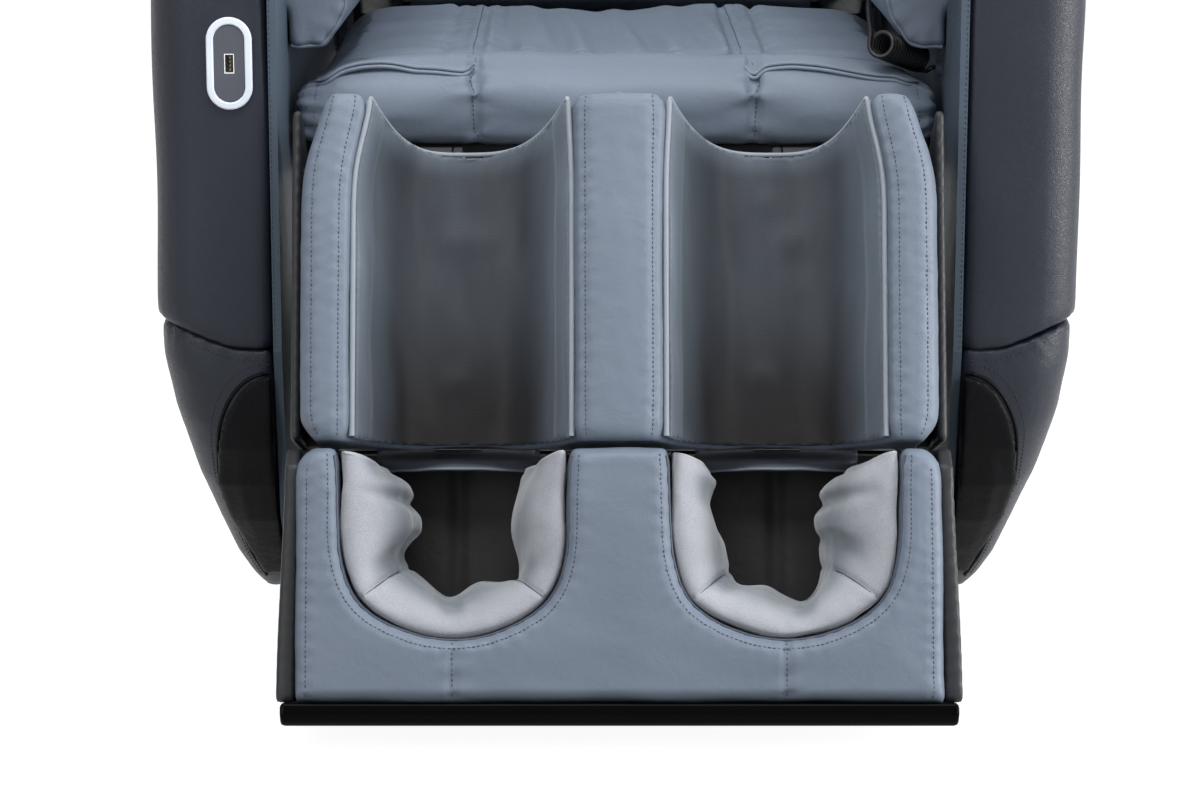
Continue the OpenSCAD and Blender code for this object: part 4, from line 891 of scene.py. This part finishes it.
def eased(name, node, body, slot, material, bevel, angle=40, segments=2):
    """A moulded or pressed piece in place of its plain CAD node, with its edges rounded."""
    ridden(rounded(copy_of(name, node), bevel, angle, segments), body, slot, material, (node,))


plastic_black = plastic("plastic_black", (0.010, 0.010, 0.012), 0.5, 1300)
key_grey = plastic("key_grey", (0.30, 0.32, 0.35), 0.4, 2200, 0.00002)
screen_glass, tree, inputs = shader_of("screen_glass", 0.08, coat=0.6)
feed(tree, inputs["Base Color"],
     shade(tree, texture(tree, "Noise", 18, Detail=2), (0.002, 0.003, 0.005), (0.006, 0.007, 0.010)))
eased("remote_holder_shell", "remote_holder", "base", "plastic_black", plastic_black, 0.0012)
eased("remote_case_shell", "remote_case", "base", "plastic_dark",
      plastic("case_dark", (0.022, 0.024, 0.028), 0.4, 1600), 0.0016)
dressed("remote_screen", screen_glass)
dressed("button_power", key_grey)
for node in ("button_back", "button_leg"):
    eased(node + "_key", node, node, "button_light", key_grey, 0.0006)

# Calf unit: a foam body covered in grey-blue leather with three ridges, sewn along every edge, and a
# smoky satin lining stretched into its two channels; a dark side shell wraps its sides and rear.
CALF_FRONT, CALF_TOP, CALF_HALF, RIB, CHANNEL, SLOPE = 135, 38, 253.7, 36, 177, 0.41
CHANNEL_DEPTH, CHANNEL_POWER = 83, 3.2
LINER_BUMPS = ((-133, -73, 2.4), (-107, -73, 2.0), (-133, -189, 3.0),
               (123, -41, 2.2), (142, -73, 2.4), (118, -185, 3.0))


def leaning(y, z, degrees):
    """A leaning part's own frame, in millimetres across, behind its hinge and up along it: a way to turn its
    places into points of the object, and a way back."""
    c, s = math.cos(math.radians(degrees)), math.sin(math.radians(degrees))

    def place(points):
        p = np.atleast_2d(np.array(points, float))
        return on_seat(np.stack([p[:, 0], y + p[:, 1] * c + p[:, 2] * s, z - p[:, 1] * s + p[:, 2] * c], 1))

    def unplace(co):
        q = off_seat(co) - [0, y, z]
        return np.stack([q[:, 0], q[:, 1] * c - q[:, 2] * s, q[:, 1] * s + q[:, 2] * c], 1)

    return place, unplace


on_leg, off_leg = leaning(-19, 430, 18)


def calf_bend(q):
    """The ridges bow: the outer ones lean in at the top and are rounded off at both ends."""
    q = np.array(q, float)
    x = np.abs(q[:, 0])
    outer = ramp(x, 110, 215)
    top = ramp(q[:, 2], -70, 36) ** 2
    low = ramp(-q[:, 2], 214, 246) ** 2
    corner = ramp(x, 232, 254)
    shift = outer * 13 * top + corner * (9 * low + 5 * top) - (1 - outer) * ramp(x, 20, 40) * 3 * top
    q[:, 0] -= np.sign(q[:, 0]) * shift
    return q


shell_charcoal = leather("shell_charcoal", (0.018, 0.019, 0.022), 0.42, 900, 0.0001, 0.0003, specular=0.3)
ridden(soft("calf_side_shell", "calf_shell", 0.004, 14), "leg_rest", "plastic_dark", shell_charcoal,
       ("calf_shell",))

calf = soft("calf_leather", "calf_cushion", 0.0036, 8)
q = calf_bend(off_leg(points_of(calf)))
x = np.abs(q[:, 0])
crown = np.maximum(1 - (q[:, 0] / RIB) ** 2, 0) * 3.2 + np.maximum(1 - ((x - 233) / 21) ** 2, 0) * 1.6
q[:, 1] -= crown * ramp(-q[:, 1], 100, 128)
put(calf, on_leg(q))


def up_ridge(x, y, high):
    """A line up a ridge, across at x and y, to a height."""
    return calf_bend([[x, y, z] for z in np.linspace(-239, high, 60)])


calf_rows = [drawn(calf, up_ridge(s * x, -CALF_FRONT, 33), on_leg, lift=0.0002)
             for s in (-1, 1) for x in (RIB - 9, RIB + CHANNEL + 9, CALF_HALF - 9)]
sewn(calf, calf_rows, 0.0026, 0.0013, 0.0004, 0.012, 0.008, 51)
rumpled(calf, (0.0007, 0.11, 52), (0.0002, 0.025, 53))
ridden(calf, "leg_rest", *GREY, ("calf_cushion",), 0.8)
stitched(calf, "calf_stitches", calf_rows, "leg_rest", *BLUE_THREAD, lift=0.00015)


def satin(name, deep, light, rough=0.45, sheen=0.35):
    """Smooth stretch lining: fine ribs across, silky at a low angle, with painted sheen and painted shade:
    paler towards its edges, by the piece's rim attribute, from the deep to the light colour.
    """
    material, tree, inputs = shader_of(name, rough, sheen=sheen, specular=0.14)
    inputs["Sheen Tint"].default_value = (0.72, 0.82, 0.92, 1)
    rim = add(tree, "ShaderNodeAttribute", out="Fac", attribute_name="rim")
    cloud = texture(tree, "Noise", 60, (1, 1, 0.22), Detail=5)
    # Painted sheen and painted shade: the rim attribute runs the colour from deep, where shade falls, to
    # light, where sheen would be.
    feed(tree, inputs["Base Color"], mix(tree, 1.0, shade(tree, rim, deep, light, 0.0, 1.0),
                                         shade(tree, cloud, 0.88, 1.10, 0.25, 0.75), "MULTIPLY"))
    raised(tree, inputs, cloud, 0.00018)
    ribs = texture(tree, "Wave", 300, settings={"bands_direction": "Z"}, Distortion=3.0, Detail=2)
    raised(tree, inputs, ribs, 0.00006)
    return material


def mark(obj, values, name):
    """Gives each point of a piece a value that its finish reads."""
    attribute = obj.data.attributes.new(name, "FLOAT", "POINT")
    attribute.data.foreach_set("value", np.clip(values, 0, 1).astype(np.float32))


liner = soft("calf_lining", "calf_liners", 0.0026, 8)
q = off_leg(points_of(liner))
u = np.clip((np.abs(q[:, 0]) - RIB - CHANNEL / 2) / (CHANNEL / 2), -1, 1)
curve = -CHANNEL_DEPTH * np.abs(u) ** CHANNEL_POWER
knots = np.sin(np.radians(np.arange(-90, 91, 15)))
off = q[:, 1] - np.interp(u, knots, -CHANNEL_DEPTH * np.abs(knots) ** CHANNEL_POWER)
facing = normals_of(liner)[:, 1] < 0
hold = fade(np.abs(u), 0.86, 0.97)
for face in (facing, ~facing):
    level = np.median(off[face & (np.abs(u) < 0.8)])
    near = face & (np.abs(off - level) < 4)
    q[near, 1] += (hold * (curve + level - q[:, 1]))[near] + ((1 - hold) * (curve - q[:, 1] + off))[near]
q = calf_bend(q)
relax(put(liner, on_leg(q)), 10)
n = normals_of(liner)
slant = np.sin((u * 60 * np.sign(q[:, 0]) + (q[:, 2] + 100) * 0.55) / 11 + 1.5 * ripple(q * MM, 0.16, 61))
fold = (1.7 * slant * fade(np.abs(u), 0.55, 0.98) * ramp(q[:, 2], -150, 0)
        + 1.3 * ripple(q * [1, 1, 0.35] * MM, 0.045, 62))
for bx, bz, high in LINER_BUMPS:
    fold += high * np.exp(-((q[:, 0] - bx) ** 2 + (q[:, 2] - bz) ** 2) / (2 * 9.0 ** 2))
ends = fade(np.abs(q[:, 2] + 103), 114, 141)
put(liner, points_of(liner) + n * (np.where(n[:, 1] < 0.2, fold, 0) * ends * MM)[:, None])
# Painted sheen and painted shade: the lining is marked paler towards the channel walls, on its upper part and
# just under its top edge, and darker low down in the channel.
below = CALF_TOP - SLOPE * (q[:, 1] + CALF_FRONT) - q[:, 2]
mark(liner, ramp(np.abs(u), 0.55, 1.02) * 0.72 + 0.26 * fade(-q[:, 2], 90, 225)
     + 0.4 * fade(below, 2, 26), "rim")
# The deep colour stands for painted shade and the light colour for painted sheen.
smoke_satin = satin("smoke_satin", (0.0125, 0.0108, 0.0115), (0.150, 0.182, 0.220))
ridden(liner, "leg_rest", "fabric_smoke", smoke_satin, ("calf_liners",), 0.5)


def saddle_line(side):
    """The lining's upper edge, down from a ridge, across the channel and up again."""
    p = []
    for u in np.sin(np.radians(np.linspace(-88, 88, 70))):
        x = RIB + CHANNEL / 2 + (CHANNEL / 2 - 2) * u
        y = -CALF_FRONT + 12 + (CHANNEL_DEPTH - 3) * (1 - abs(u) ** CHANNEL_POWER)
        p.append([side * x, y, CALF_TOP - SLOPE * (y + CALF_FRONT) - 1.0])
    return spaced(on_leg(calf_bend(p)), 0.004)


rim_satin = leather("rim_satin", (0.24, 0.27, 0.31), 0.5, 1600, 0.00008, sheen=0.4)
rims = [spaced(on_leg(up_ridge(s * x, -CALF_FRONT + 10, 30)), 0.004)
        for s in (-1, 1) for x in (RIB + 1.5, RIB + CHANNEL - 1.5)]
for name, lines, radius in (("rims", rims, 0.0022), ("top", [saddle_line(s) for s in (-1, 1)], 0.0019)):
    along_lines(PIPING, "calf_lining_" + name, lines, "leg_rest", "fabric_smoke", rim_satin, Radius=radius)

# Gusset: a loose flap of dark leather in each channel's lower end, which closes the gap to the foot unit.


def gusset_bow(x):
    return 30 * np.maximum(1 - ((np.abs(x) - 131) / 66) ** 2, 0) ** 0.8


gusset = soft("gusset_leather", "foot_gusset", 0.002, 6)
q = off_leg(points_of(gusset))
wave = 1.4 * np.sin(q[:, 0] / 21 + q[:, 2] / 9) + 1.2 * ripple(q * MM, 0.05, 66)
q[:, 1] += (wave - gusset_bow(q[:, 0])) * ramp(-q[:, 2], 241, 258)
put(gusset, on_leg(q))
gusset_dark = leather("gusset_dark", (0.120, 0.132, 0.160), 0.34, 900, 0.0001, 0.0006)
ridden(gusset, "leg_rest", "leather_black", gusset_dark, ("foot_gusset",), 0.2)
hems = [drawn(gusset, [[s * x, -14 - gusset_bow(x), -259.5] for x in np.linspace(70, 192, 30)],
              on_leg, 0.003, 0.0004) for s in (-1, 1)]
along_lines(PIPING, "gusset_hems", hems, "leg_rest", "leather_black", piping_grey, Radius=0.0012)

# Foot unit: a dark shell with the two wells, a padded leather front sewn round the wells, and a glossy
# black tray under it. It slides on two steel rods that run in the leg rest's frame.
FOOT_FRONT, FOOT_TOP, FOOT_LOW, FOOT_HALF = 141, -248, -449, 255
WELL_X, WELL_R, WELL_MID = 131, 89, -310
side_shell = copy_of("foot_side_shell", "foot_shell")
tray = new_object("foot_base_tray", side_shell.data.copy())
for part, wanted in ((side_shell, False), (tray, True)):
    shape = bmesh.new()
    shape.from_mesh(part.data)
    low = {v for v in shape.verts if off_leg(np.array([v.co[:]]))[0, 2] < FOOT_LOW - 18}
    stack = list(low)
    while stack:
        joined = {v for edge in stack.pop().link_edges for v in edge.verts} - low
        low |= joined
        stack += joined
    bmesh.ops.delete(shape, geom=[v for v in shape.verts if (v in low) != wanted], context="VERTS")
    shape.to_mesh(part.data)
    shape.free()
ridden(rounded(tray, 0.0035, 30, 3), "foot_unit", "plastic_dark",
       plastic("tray_gloss", (0.0012, 0.0012, 0.0014), 0.16, 2600, 0.00001, specular=0.04))
relax(even(side_shell, 0.0042), 14)
q = off_leg(points_of(side_shell))
q[:, 0] *= 1 - 0.022 * ramp(q[:, 2], FOOT_LOW, FOOT_TOP) * ramp(np.abs(q[:, 0]), 250, 262)
put(side_shell, on_leg(q))
ridden(side_shell, "foot_unit", "plastic_dark", shell_charcoal, ("foot_shell",))
dressed("foot_slides", steel("rod_steel", (0.6, 0.6, 0.62), 0.2, (30, 30, 1)))
dressed("sole_rollers", plastic("roller_brown", (0.19, 0.085, 0.03), 0.3, 900, 0.00006, 0.2))


def squarer(a):
    """How much further than a circle the well's lower corners reach, by the angle from its middle."""
    return 1 + 0.062 * np.exp(-((np.abs(np.arcsin(np.abs(np.sin(a)))) - 0.66) / 0.36) ** 2)


def well_line(side, more, deep=0.0):
    """A line round a well, outside its edge by more: down one side, round the bottom and up the other."""
    r, top = WELL_R + more, -254
    p = [(-r, z) for z in np.linspace(top, WELL_MID, 12)]
    for a in np.radians(np.linspace(182, 358, 60)):
        round_r = WELL_R * squarer(a) + more
        p.append((round_r * math.cos(a), round_r * math.sin(a) + WELL_MID))
    p += [(r, z) for z in np.linspace(WELL_MID, top, 12)]
    return spaced(on_leg([[side * WELL_X + x, -FOOT_FRONT + deep, z] for x, z in p]), 0.002)


foot = soft("foot_leather", "foot_cushion", 0.0032, 8)
q = off_leg(points_of(foot))
edge_gap = np.minimum(FOOT_HALF - np.abs(q[:, 0]), np.minimum(q[:, 2] - FOOT_LOW, FOOT_TOP - q[:, 2]))
q[:, 1] -= ramp(-q[:, 1], 128, 139) * 2.4 * ramp(edge_gap, 4, 50)
for side in (-1, 1):
    away = q[:, [0, 2]] - [side * WELL_X, WELL_MID]
    r, angle = np.hypot(*away.T), np.degrees(np.arctan2(away[:, 1], away[:, 0]))
    facet = WELL_R * (1 - math.cos(math.radians(11.25)) / np.cos(np.radians(angle % 22.5 - 11.25)))
    wide = WELL_R * (squarer(np.radians(angle)) - 1) * ramp(-angle, 0, 12) * ramp(angle, -180, -168)
    grow = np.where(angle < 0, facet * np.exp(-((r - WELL_R) / 14) ** 2)
                    + wide * fade(r, WELL_R + 4, WELL_R + 40), 0) / np.maximum(r, 1)
    q[:, [0, 2]] += away * grow[:, None]
put(foot, on_leg(q))
foot_rows = [laid_on(foot, well_line(s, 9)) for s in (-1, 1)]
foot_rows += [drawn(foot, [[s * (FOOT_HALF - 9), -FOOT_FRONT, z] for z in (-447, -267)], on_leg)
              for s in (-1, 1)]
foot_seams = [drawn(foot, [[s * WELL_X, -FOOT_FRONT, z] for z in (-447, -401)], on_leg) for s in (-1, 1)]
sewn(foot, foot_rows, 0.0026, 0.0013, 0.0004, 0.012, 0.008, 71)
sewn(foot, foot_seams, 0.0024, 0.0022, 0.0005, 0.014, 0.012, 72)
sewn(foot, [laid_on(foot, well_line(s, 2.5)) for s in (-1, 1)], 0.002, 0.0010)
rumpled(foot, (0.0007, 0.12, 73), (0.0002, 0.03, 74))
ridden(foot, "foot_unit", *GREY, ("foot_cushion",), 0.8)
stitched(foot, "foot_stitches", foot_rows + foot_seams, "foot_unit", *BLUE_THREAD, lift=0.00015)
piped(foot, "foot_well_piping", [well_line(s, 1.2, 5) for s in (-1, 1)], "foot_unit", "leather_grey",
      piping_dark, 0.0002, 0.0011)

# Foot linings: soft pale plush sewn in along each well's edge, which rolls inwards in loose gathers, with
# two slanting seams, and a dark heel panel behind it with a seam down its middle.
PROFILE = [(0.5, -132), (3, -135.5), (8, -136), (14, -133), (20, -127), (26, -118), (31, -106), (35, -92),
           (38, -74), (39, -54), (39, -34), (36, -14), (29, 0), (18, 7), (6, 8), (0.5, 4), (0.5, -30),
           (0.5, -80), (0.5, -120)]
RING_SEAMS = (0.30, 0.70)
WELL_STRAIGHT, WELL_BEND = 60.0, math.pi * WELL_R
HEEL_ROWS, HEEL_COLS, HEEL_THICK = 22, 26, 5


def plush(name, colour, rough=0.85):
    """Short-pile cloth: fine speckle, a little cloudy, with painted shade that makes it greyer and bluer down
    in the folds.
    """
    material, tree, inputs = shader_of(name, rough, sheen=0.7, specular=0.2)
    pile = texture(tree, "Noise", 900, Detail=4)
    cloud = texture(tree, "Noise", 22, Detail=4)
    tone = toned(tree, cloud, colour, 0.90, 1.07)
    mottled = mix(tree, 1.0, tone, shade(tree, pile, 0.86, 1.08), "MULTIPLY")
    fold = add(tree, "ShaderNodeAttribute", out="Fac", attribute_name="fold")
    # Painted shade: the fold attribute mixes the cloth towards this grey-blue.
    feed(tree, inputs["Base Color"], mix(tree, fold, mottled, (0.120, 0.146, 0.174, 1)))
    feed(tree, inputs["Roughness"], shade(tree, pile, rough - 0.1, rough + 0.1))
    raised(tree, inputs, cloud, 0.0012)
    raised(tree, inputs, texture(tree, "Voronoi", 1300, settings={"feature": "F1"}), 0.00022)
    return material


def well_walk(t):
    """Place and inward direction along a well's edge: 0 at the outer top, 1 at the inner top."""
    s = t * (2 * WELL_STRAIGHT + WELL_BEND)
    if s < WELL_STRAIGHT:
        return np.array([WELL_R, WELL_MID + WELL_STRAIGHT - s]), np.array([-1.0, 0])
    if s < WELL_STRAIGHT + WELL_BEND:
        a = -(s - WELL_STRAIGHT) / WELL_R
        way = np.array([math.cos(a), math.sin(a)])
        return np.array([0, WELL_MID]) + WELL_R * squarer(a) * way, -way
    return np.array([-WELL_R, WELL_MID + s - WELL_STRAIGHT - WELL_BEND]), np.array([1.0, 0])


def hump(t, middle, width):
    return math.exp(-((t - middle) / width) ** 2)


def plush_ring(side, seed):
    """One well's lining as a closed roll of cloth: broad round gathers with creases between them, fullest
    at its outer side. Also a painted shade for each point: deep inside the well and in the creases between
    gathers."""
    p1, p2, p3 = np.random.default_rng(seed).uniform(0, 6.3, 3)
    ts = np.linspace(0.0, 1.0, 190)
    profile = spaced([(a, b, 0) for a, b in PROFILE], 3.6)[:, :2]
    verts, fold_shade = [], []
    for t in ts:
        at, way = well_walk(t)
        full = 1.06 + 0.42 * hump(t, 0.17, 0.13) - 0.14 * hump(t, 0.5, 0.16)
        seam = sum(hump(t, middle, 0.012) for middle in RING_SEAMS)
        tip = hump(min(t, 1 - t), 0, 0.04)
        for a, b in profile:
            inner = min(1, a / 38)
            deep = min(1, max(0, (b + 134) / 60))
            pull = math.sqrt(math.sin(4.2 * math.pi * t + p1 + 0.5 * deep) ** 2 + 0.10)
            gather = 13 * (pull - 0.68)
            broad = (3 * math.sin(2 * math.pi * 1.9 * t + p2 + 0.6 * deep)
                     + 0.5 * math.sin(2 * math.pi * 7 * t + p3 + deep))
            reach = (a * (full - 0.25 * tip)
                     + inner ** 1.5 * (gather + broad) * (0.55 + 0.45 * deep) * (1 - 0.7 * tip))
            # Painted shade: darker deep inside the well and in the creases between gathers.
            fold_shade.append(0.85 * ramp(b, -129, -96) + 0.6 * ramp(a, 14, 26) * fade(pull, 0.32, 0.7))
            reach -= 7 * inner * hump(t - 0.085, 0.012 * deep, 0.016)
            reach = max(reach - 2.0 * seam * min(1, a / 8), 0.4 if a < 1 else 1.0)
            y = b - 0.35 * inner * (gather + 0.5 * broad) * (1 - deep)
            x, z = at + way * reach
            z -= 11.0 * tip * min(1, a / 34) ** 1.6
            verts.append([side * (WELL_X + x), y, z])
    k = len(profile)
    faces = [(i * k + j, i * k + (j + 1) % k, (i + 1) * k + (j + 1) % k, (i + 1) * k + j)
             for i in range(len(ts) - 1) for j in range(k)]
    faces += [tuple(range(k)), tuple(range((len(ts) - 1) * k, len(ts) * k))[::-1]]
    return on_leg(verts), faces, fold_shade


def subdivided(obj):
    smooth = obj.modifiers.new("smooth", "SUBSURF")
    smooth.levels = smooth.render_levels = 1
    return settle(obj)


pale_plush = plush("pale_plush", (0.375, 0.388, 0.425))
heel_dark = leather("heel_dark", (0.034, 0.0305, 0.0315), 0.6, 1000, 0.0001, 0.0008, specular=0.25)
for (name, side), seed in zip(SIDES, (81, 95)):
    verts, faces, fold_shade = plush_ring(side, seed)
    ring = mesh_object(f"foot_lining_{name}", verts, faces)
    shape = bmesh.new()
    shape.from_mesh(ring.data)
    bmesh.ops.recalc_face_normals(shape, faces=shape.faces)
    shape.to_mesh(ring.data)
    shape.free()
    mark(ring, np.array(fold_shade), "fold")
    subdivided(relax(ring, 10))
    front = ramp(-off_leg(points_of(ring))[:, 1], -10, 30)
    rumpled(ring, (0.0012, 0.06, seed), (0.0002, 0.02, seed + 1), mask=front)
    ridden(ring, "foot_unit", "fabric_pale", pale_plush, ("foot_liners",) if side < 0 else (), 0.5)
    seams = []
    for t in RING_SEAMS:
        at, way = well_walk(t)
        run = [(at + way * (a - 1), b) for a, b in PROFILE[1:8]]
        seams.append(drawn(ring, [[side * (WELL_X + x), b, z] for (x, z), b in run], on_leg, lift=0.0001))
    sewn(ring, seams, 0.0022, 0.0016)
    piped(ring, f"foot_lining_seams_{name}", seams, "foot_unit", "fabric_pale", thread_blue, -0.0001, 0.0005)
    heel_points = []
    for back in (0, HEEL_THICK):
        for z in -384 + 132 * np.arange(HEEL_ROWS) / (HEEL_ROWS - 1):
            for u in 2 * np.arange(HEEL_COLS) / (HEEL_COLS - 1) - 1:
                dent = 0 if back else 10 * hump(u, 0, 0.09)
                y = 4 + back + dent * 0.6 + 7 * u * u + 2.0 * math.sin(3 * u + z / 24) * (1 - abs(u))
                heel_points.append([side * WELL_X + 66 * u, y, z])
    heel = mesh_object(f"heel_panel_{name}", on_leg(heel_points), closed_sheet(HEEL_ROWS, HEEL_COLS))
    ridden(subdivided(heel), "foot_unit", "leather_black", heel_dark)

# Backrest: a foam cushion in grey-blue leather with sewn channels, charcoal side bolsters, shoulder wings
# and corner pads, a pale head pillow, and a charcoal shell behind them, all on a welded steel frame.
BACK_SEAMS = (160, 267, 385, 505)
on_back, off_back = leaning(610, 415, 25)
dressed("back_frame", frame_black, 0.0015)
eased("back_shell_cover", "back_shell", "backrest", *CHARCOAL, 0.005, 6, 3)
back = soft("back_leather", "back_cushion", 0.0048, 10)
q = off_back(points_of(back))
swell(back, 0.016, ramp(-q[:, 1], 74, 104) * fade(np.abs(q[:, 0]), 184, 199) * ramp(q[:, 2], 50, 76)
      * fade(q[:, 2], 728, 757))
across_seams = [drawn(back, [[x, -134, z] for x in np.linspace(-190, 190, 30)], on_back, 0.003)
                for z in BACK_SEAMS]
up_seams = [drawn(back, [[x, -134, z] for z in np.linspace(56, 636, 30)], on_back, 0.003) for x in (-60, 60)]
sewn(back, across_seams, 0.006, 0.006, 0.0010, 0.03, 0.026, 91)
sewn(back, up_seams, 0.0045, 0.004, 0.0008, 0.028, 0.02, 92)
rumpled(back, (0.0015, 0.15, 93), (0.0004, 0.05, 94))
ridden(back, "backrest", *GREY, ("back_cushion",), 0.8)
back_rows = [r + [0, 0, d] for r in across_seams for d in (0.006, -0.006)]
back_rows += [r + [d, 0, 0] for r, d in zip(up_seams, (-0.006, 0.006))]
stitched(back, "back_stitches", back_rows, "backrest", *BLUE_THREAD, Spacing=0.005)

for node, piece, seam_x, z0, z1, y in (("back_side_bolsters", "bolster_leather", 230, 52, 418, -172),
                                       ("shoulder_wings", "wing_leather", 254, 436, 654, -205)):
    pad = soft(piece, node, 0.0042, 12)
    q = off_back(points_of(pad))
    swell(pad, 0.008,
          ramp(-q[:, 1], 84, 130) * ramp(q[:, 2], z0 - 4, z0 + 24) * fade(q[:, 2], z1 - 24, z1 + 4))
    seams = [drawn(pad, [[s * seam_x, y, z] for z in np.linspace(z0, z1, 30)], on_back, 0.003)
             for s in (-1, 1)]
    sewn(pad, seams, 0.004, 0.003, 0.0008, 0.02, 0.02, 96)
    rumpled(pad, (0.0010, 0.10, 97))
    ridden(pad, "backrest", *CHARCOAL, (node,), 0.85)
    stitched(pad, piece + "_stitches", [r + [d, 0, 0] for r in seams for d in (-0.006, 0.006)],
             "backrest", *DARK_THREAD, Spacing=0.0045)

CORNER_MID, CORNER_SIZE = np.array([229, -88, 714]), np.array([51, 46, 102])
for name, side in SIDES:
    mid = CORNER_MID * [side, 1, 1]
    corner = built(f"back_corner_{name}", box_at(mid - CORNER_SIZE / 2, mid + CORNER_SIZE / 2, on_back))
    relax(even(rounded(corner, 0.014, 40, 4), 0.004), 12)
    ridden(rumpled(corner, (0.0008, 0.06, 95 + side)), "backrest", *CHARCOAL, (), 0.85)


def squarish(v):
    return math.copysign(abs(v) ** 0.25, v)


pillow = soft("pillow_plush", "head_pillow", 0.0042, 10)
swell(pillow, 0.018, ramp(-off_back(points_of(pillow))[:, 1], 138, 156))
hem = drawn(pillow, [[150 * squarish(math.cos(a)), -150, 709 + 69 * squarish(math.sin(a))]
                     for a in np.linspace(0, 2 * math.pi, 90)], on_back, 0.003)
rumpled(pillow, (0.0016, 0.08, 98), (0.0005, 0.03, 99))
ridden(pillow, "backrest", "fabric_pale", pale_plush, ("head_pillow",), 0.8)
piped(pillow, "pillow_piping", [hem], "backrest", "fabric_pale", piping_grey, 0.0004, 0.0022)

# Seat flap: a slack strip of black leather that closes the gap between the seat's rear edge and the foot of
# the backrest; it is sewn to both.
FLAP_HALF, FLAP_ROWS, FLAP_THICK = 197, 60, 2.2
flap_run = smooth_path([[0, 507, 476], [0, 511, 462], [0, 524, 451], [0, 541, 453], [0, 554, 467],
                        [0, 563, 492]], 4)
tops = np.concatenate([flap_run + [x, 0, 0] for x in np.linspace(-FLAP_HALF, FLAP_HALF, FLAP_ROWS)])
off = np.concatenate([ways(flap_run)[:, [0, 2, 1]] * [0, -1, 1]] * FLAP_ROWS)
tops += off * (2.2 * ripple(tops * MM, 0.07, 101))[:, None]
flap = mesh_object("seat_back_flap", on_seat(np.vstack([tops, tops - FLAP_THICK * off])),
                   closed_sheet(FLAP_ROWS, len(flap_run), turned=True))
flap.data.materials.append(BLACK[1])
tuple(on_seat(flap_run[1])[0])
tuple(on_seat(flap_run[-2])[0])
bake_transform(flap)

# Massage mechanism: a moulded carriage with its motor rides on two steel rails, driven by a lead screw;
# a steel shaft in it swings two arms, each with two hard rollers that press through the cushion.
dressed("track_rails", steel("rail_steel", (0.6, 0.6, 0.62), 0.3, (30, 30, 1)))
screw_steel = steel("screw_steel", (0.55, 0.55, 0.57), 0.25)
tree = screw_steel.node_tree
thread = texture(tree, "Wave", 31.4, turn=25, settings={"bands_direction": "Z", "wave_profile": "TRI"})
raised(tree, tree.nodes["Principled BSDF"].inputs, thread, 0.0016)
dressed("lead_screw", screw_steel)
eased("carriage_housing", "carriage", "carriage", "plastic_dark",
      plastic("housing_grey", (0.035, 0.038, 0.043), 0.5, 800), 0.0012)
dressed("knead_shaft", bright_steel)
arm_grey = plastic("arm_grey", (0.055, 0.06, 0.067), 0.45, 700, 0.00008)
tan = plastic("roller_tan", (0.52, 0.31, 0.10), 0.32, 600, 0.00005, 0.2)
for side in ("left", "right"):
    dressed(f"knead_arm_{side}", arm_grey)
    for level in ("upper", "lower"):
        dressed(f"roller_{side}_{level}", tan)

# Drive: two linear actuators with black bodies and bright rods, an air pump for the linings, and a control
# box at the rear, screwed on at its corners, with its mains inlet and rocker switch.
for part in ("leg", "back"):
    eased(part + "_motor_housing", part + "_motor", part + "_motor", "plastic_black", plastic_black, 0.0014)
    dressed(part + "_rod", bright_steel)
eased("control_box_case", "control_box", "base", "plastic_dark",
      plastic("box_grey", (0.030, 0.031, 0.035), 0.55, 500, 0.00010), 0.002)
eased("air_pump_case", "air_pump", "base", "plastic_dark",
      plastic("pump_grey", (0.05, 0.052, 0.057), 0.5, 600), 0.003)
eased("mains_switch_key", "mains_switch", "mains_switch", "plastic_black", plastic_black, 0.0006)
for k, (x, z) in enumerate([(x, z) for x in (-184, -76) for z in (52, 126)]):
    shape = bmesh.new()
    bmesh.ops.create_cone(shape, cap_ends=True, segments=20, radius1=0.0036, radius2=0.0028, depth=0.0022)
    seat = Matrix.Translation(on_seat([x, 695, z])[0]) @ Matrix.Rotation(math.radians(-90), 4, "X")
    bmesh.ops.transform(shape, matrix=seat, verts=shape.verts)
    ridden(built(f"control_box_screw_{k}", shape), "base", "steel", bright_steel)

for node in nodes.values():
    if not node.hide_render and not node.data.materials:
        node.data.materials.append(plastic_black)
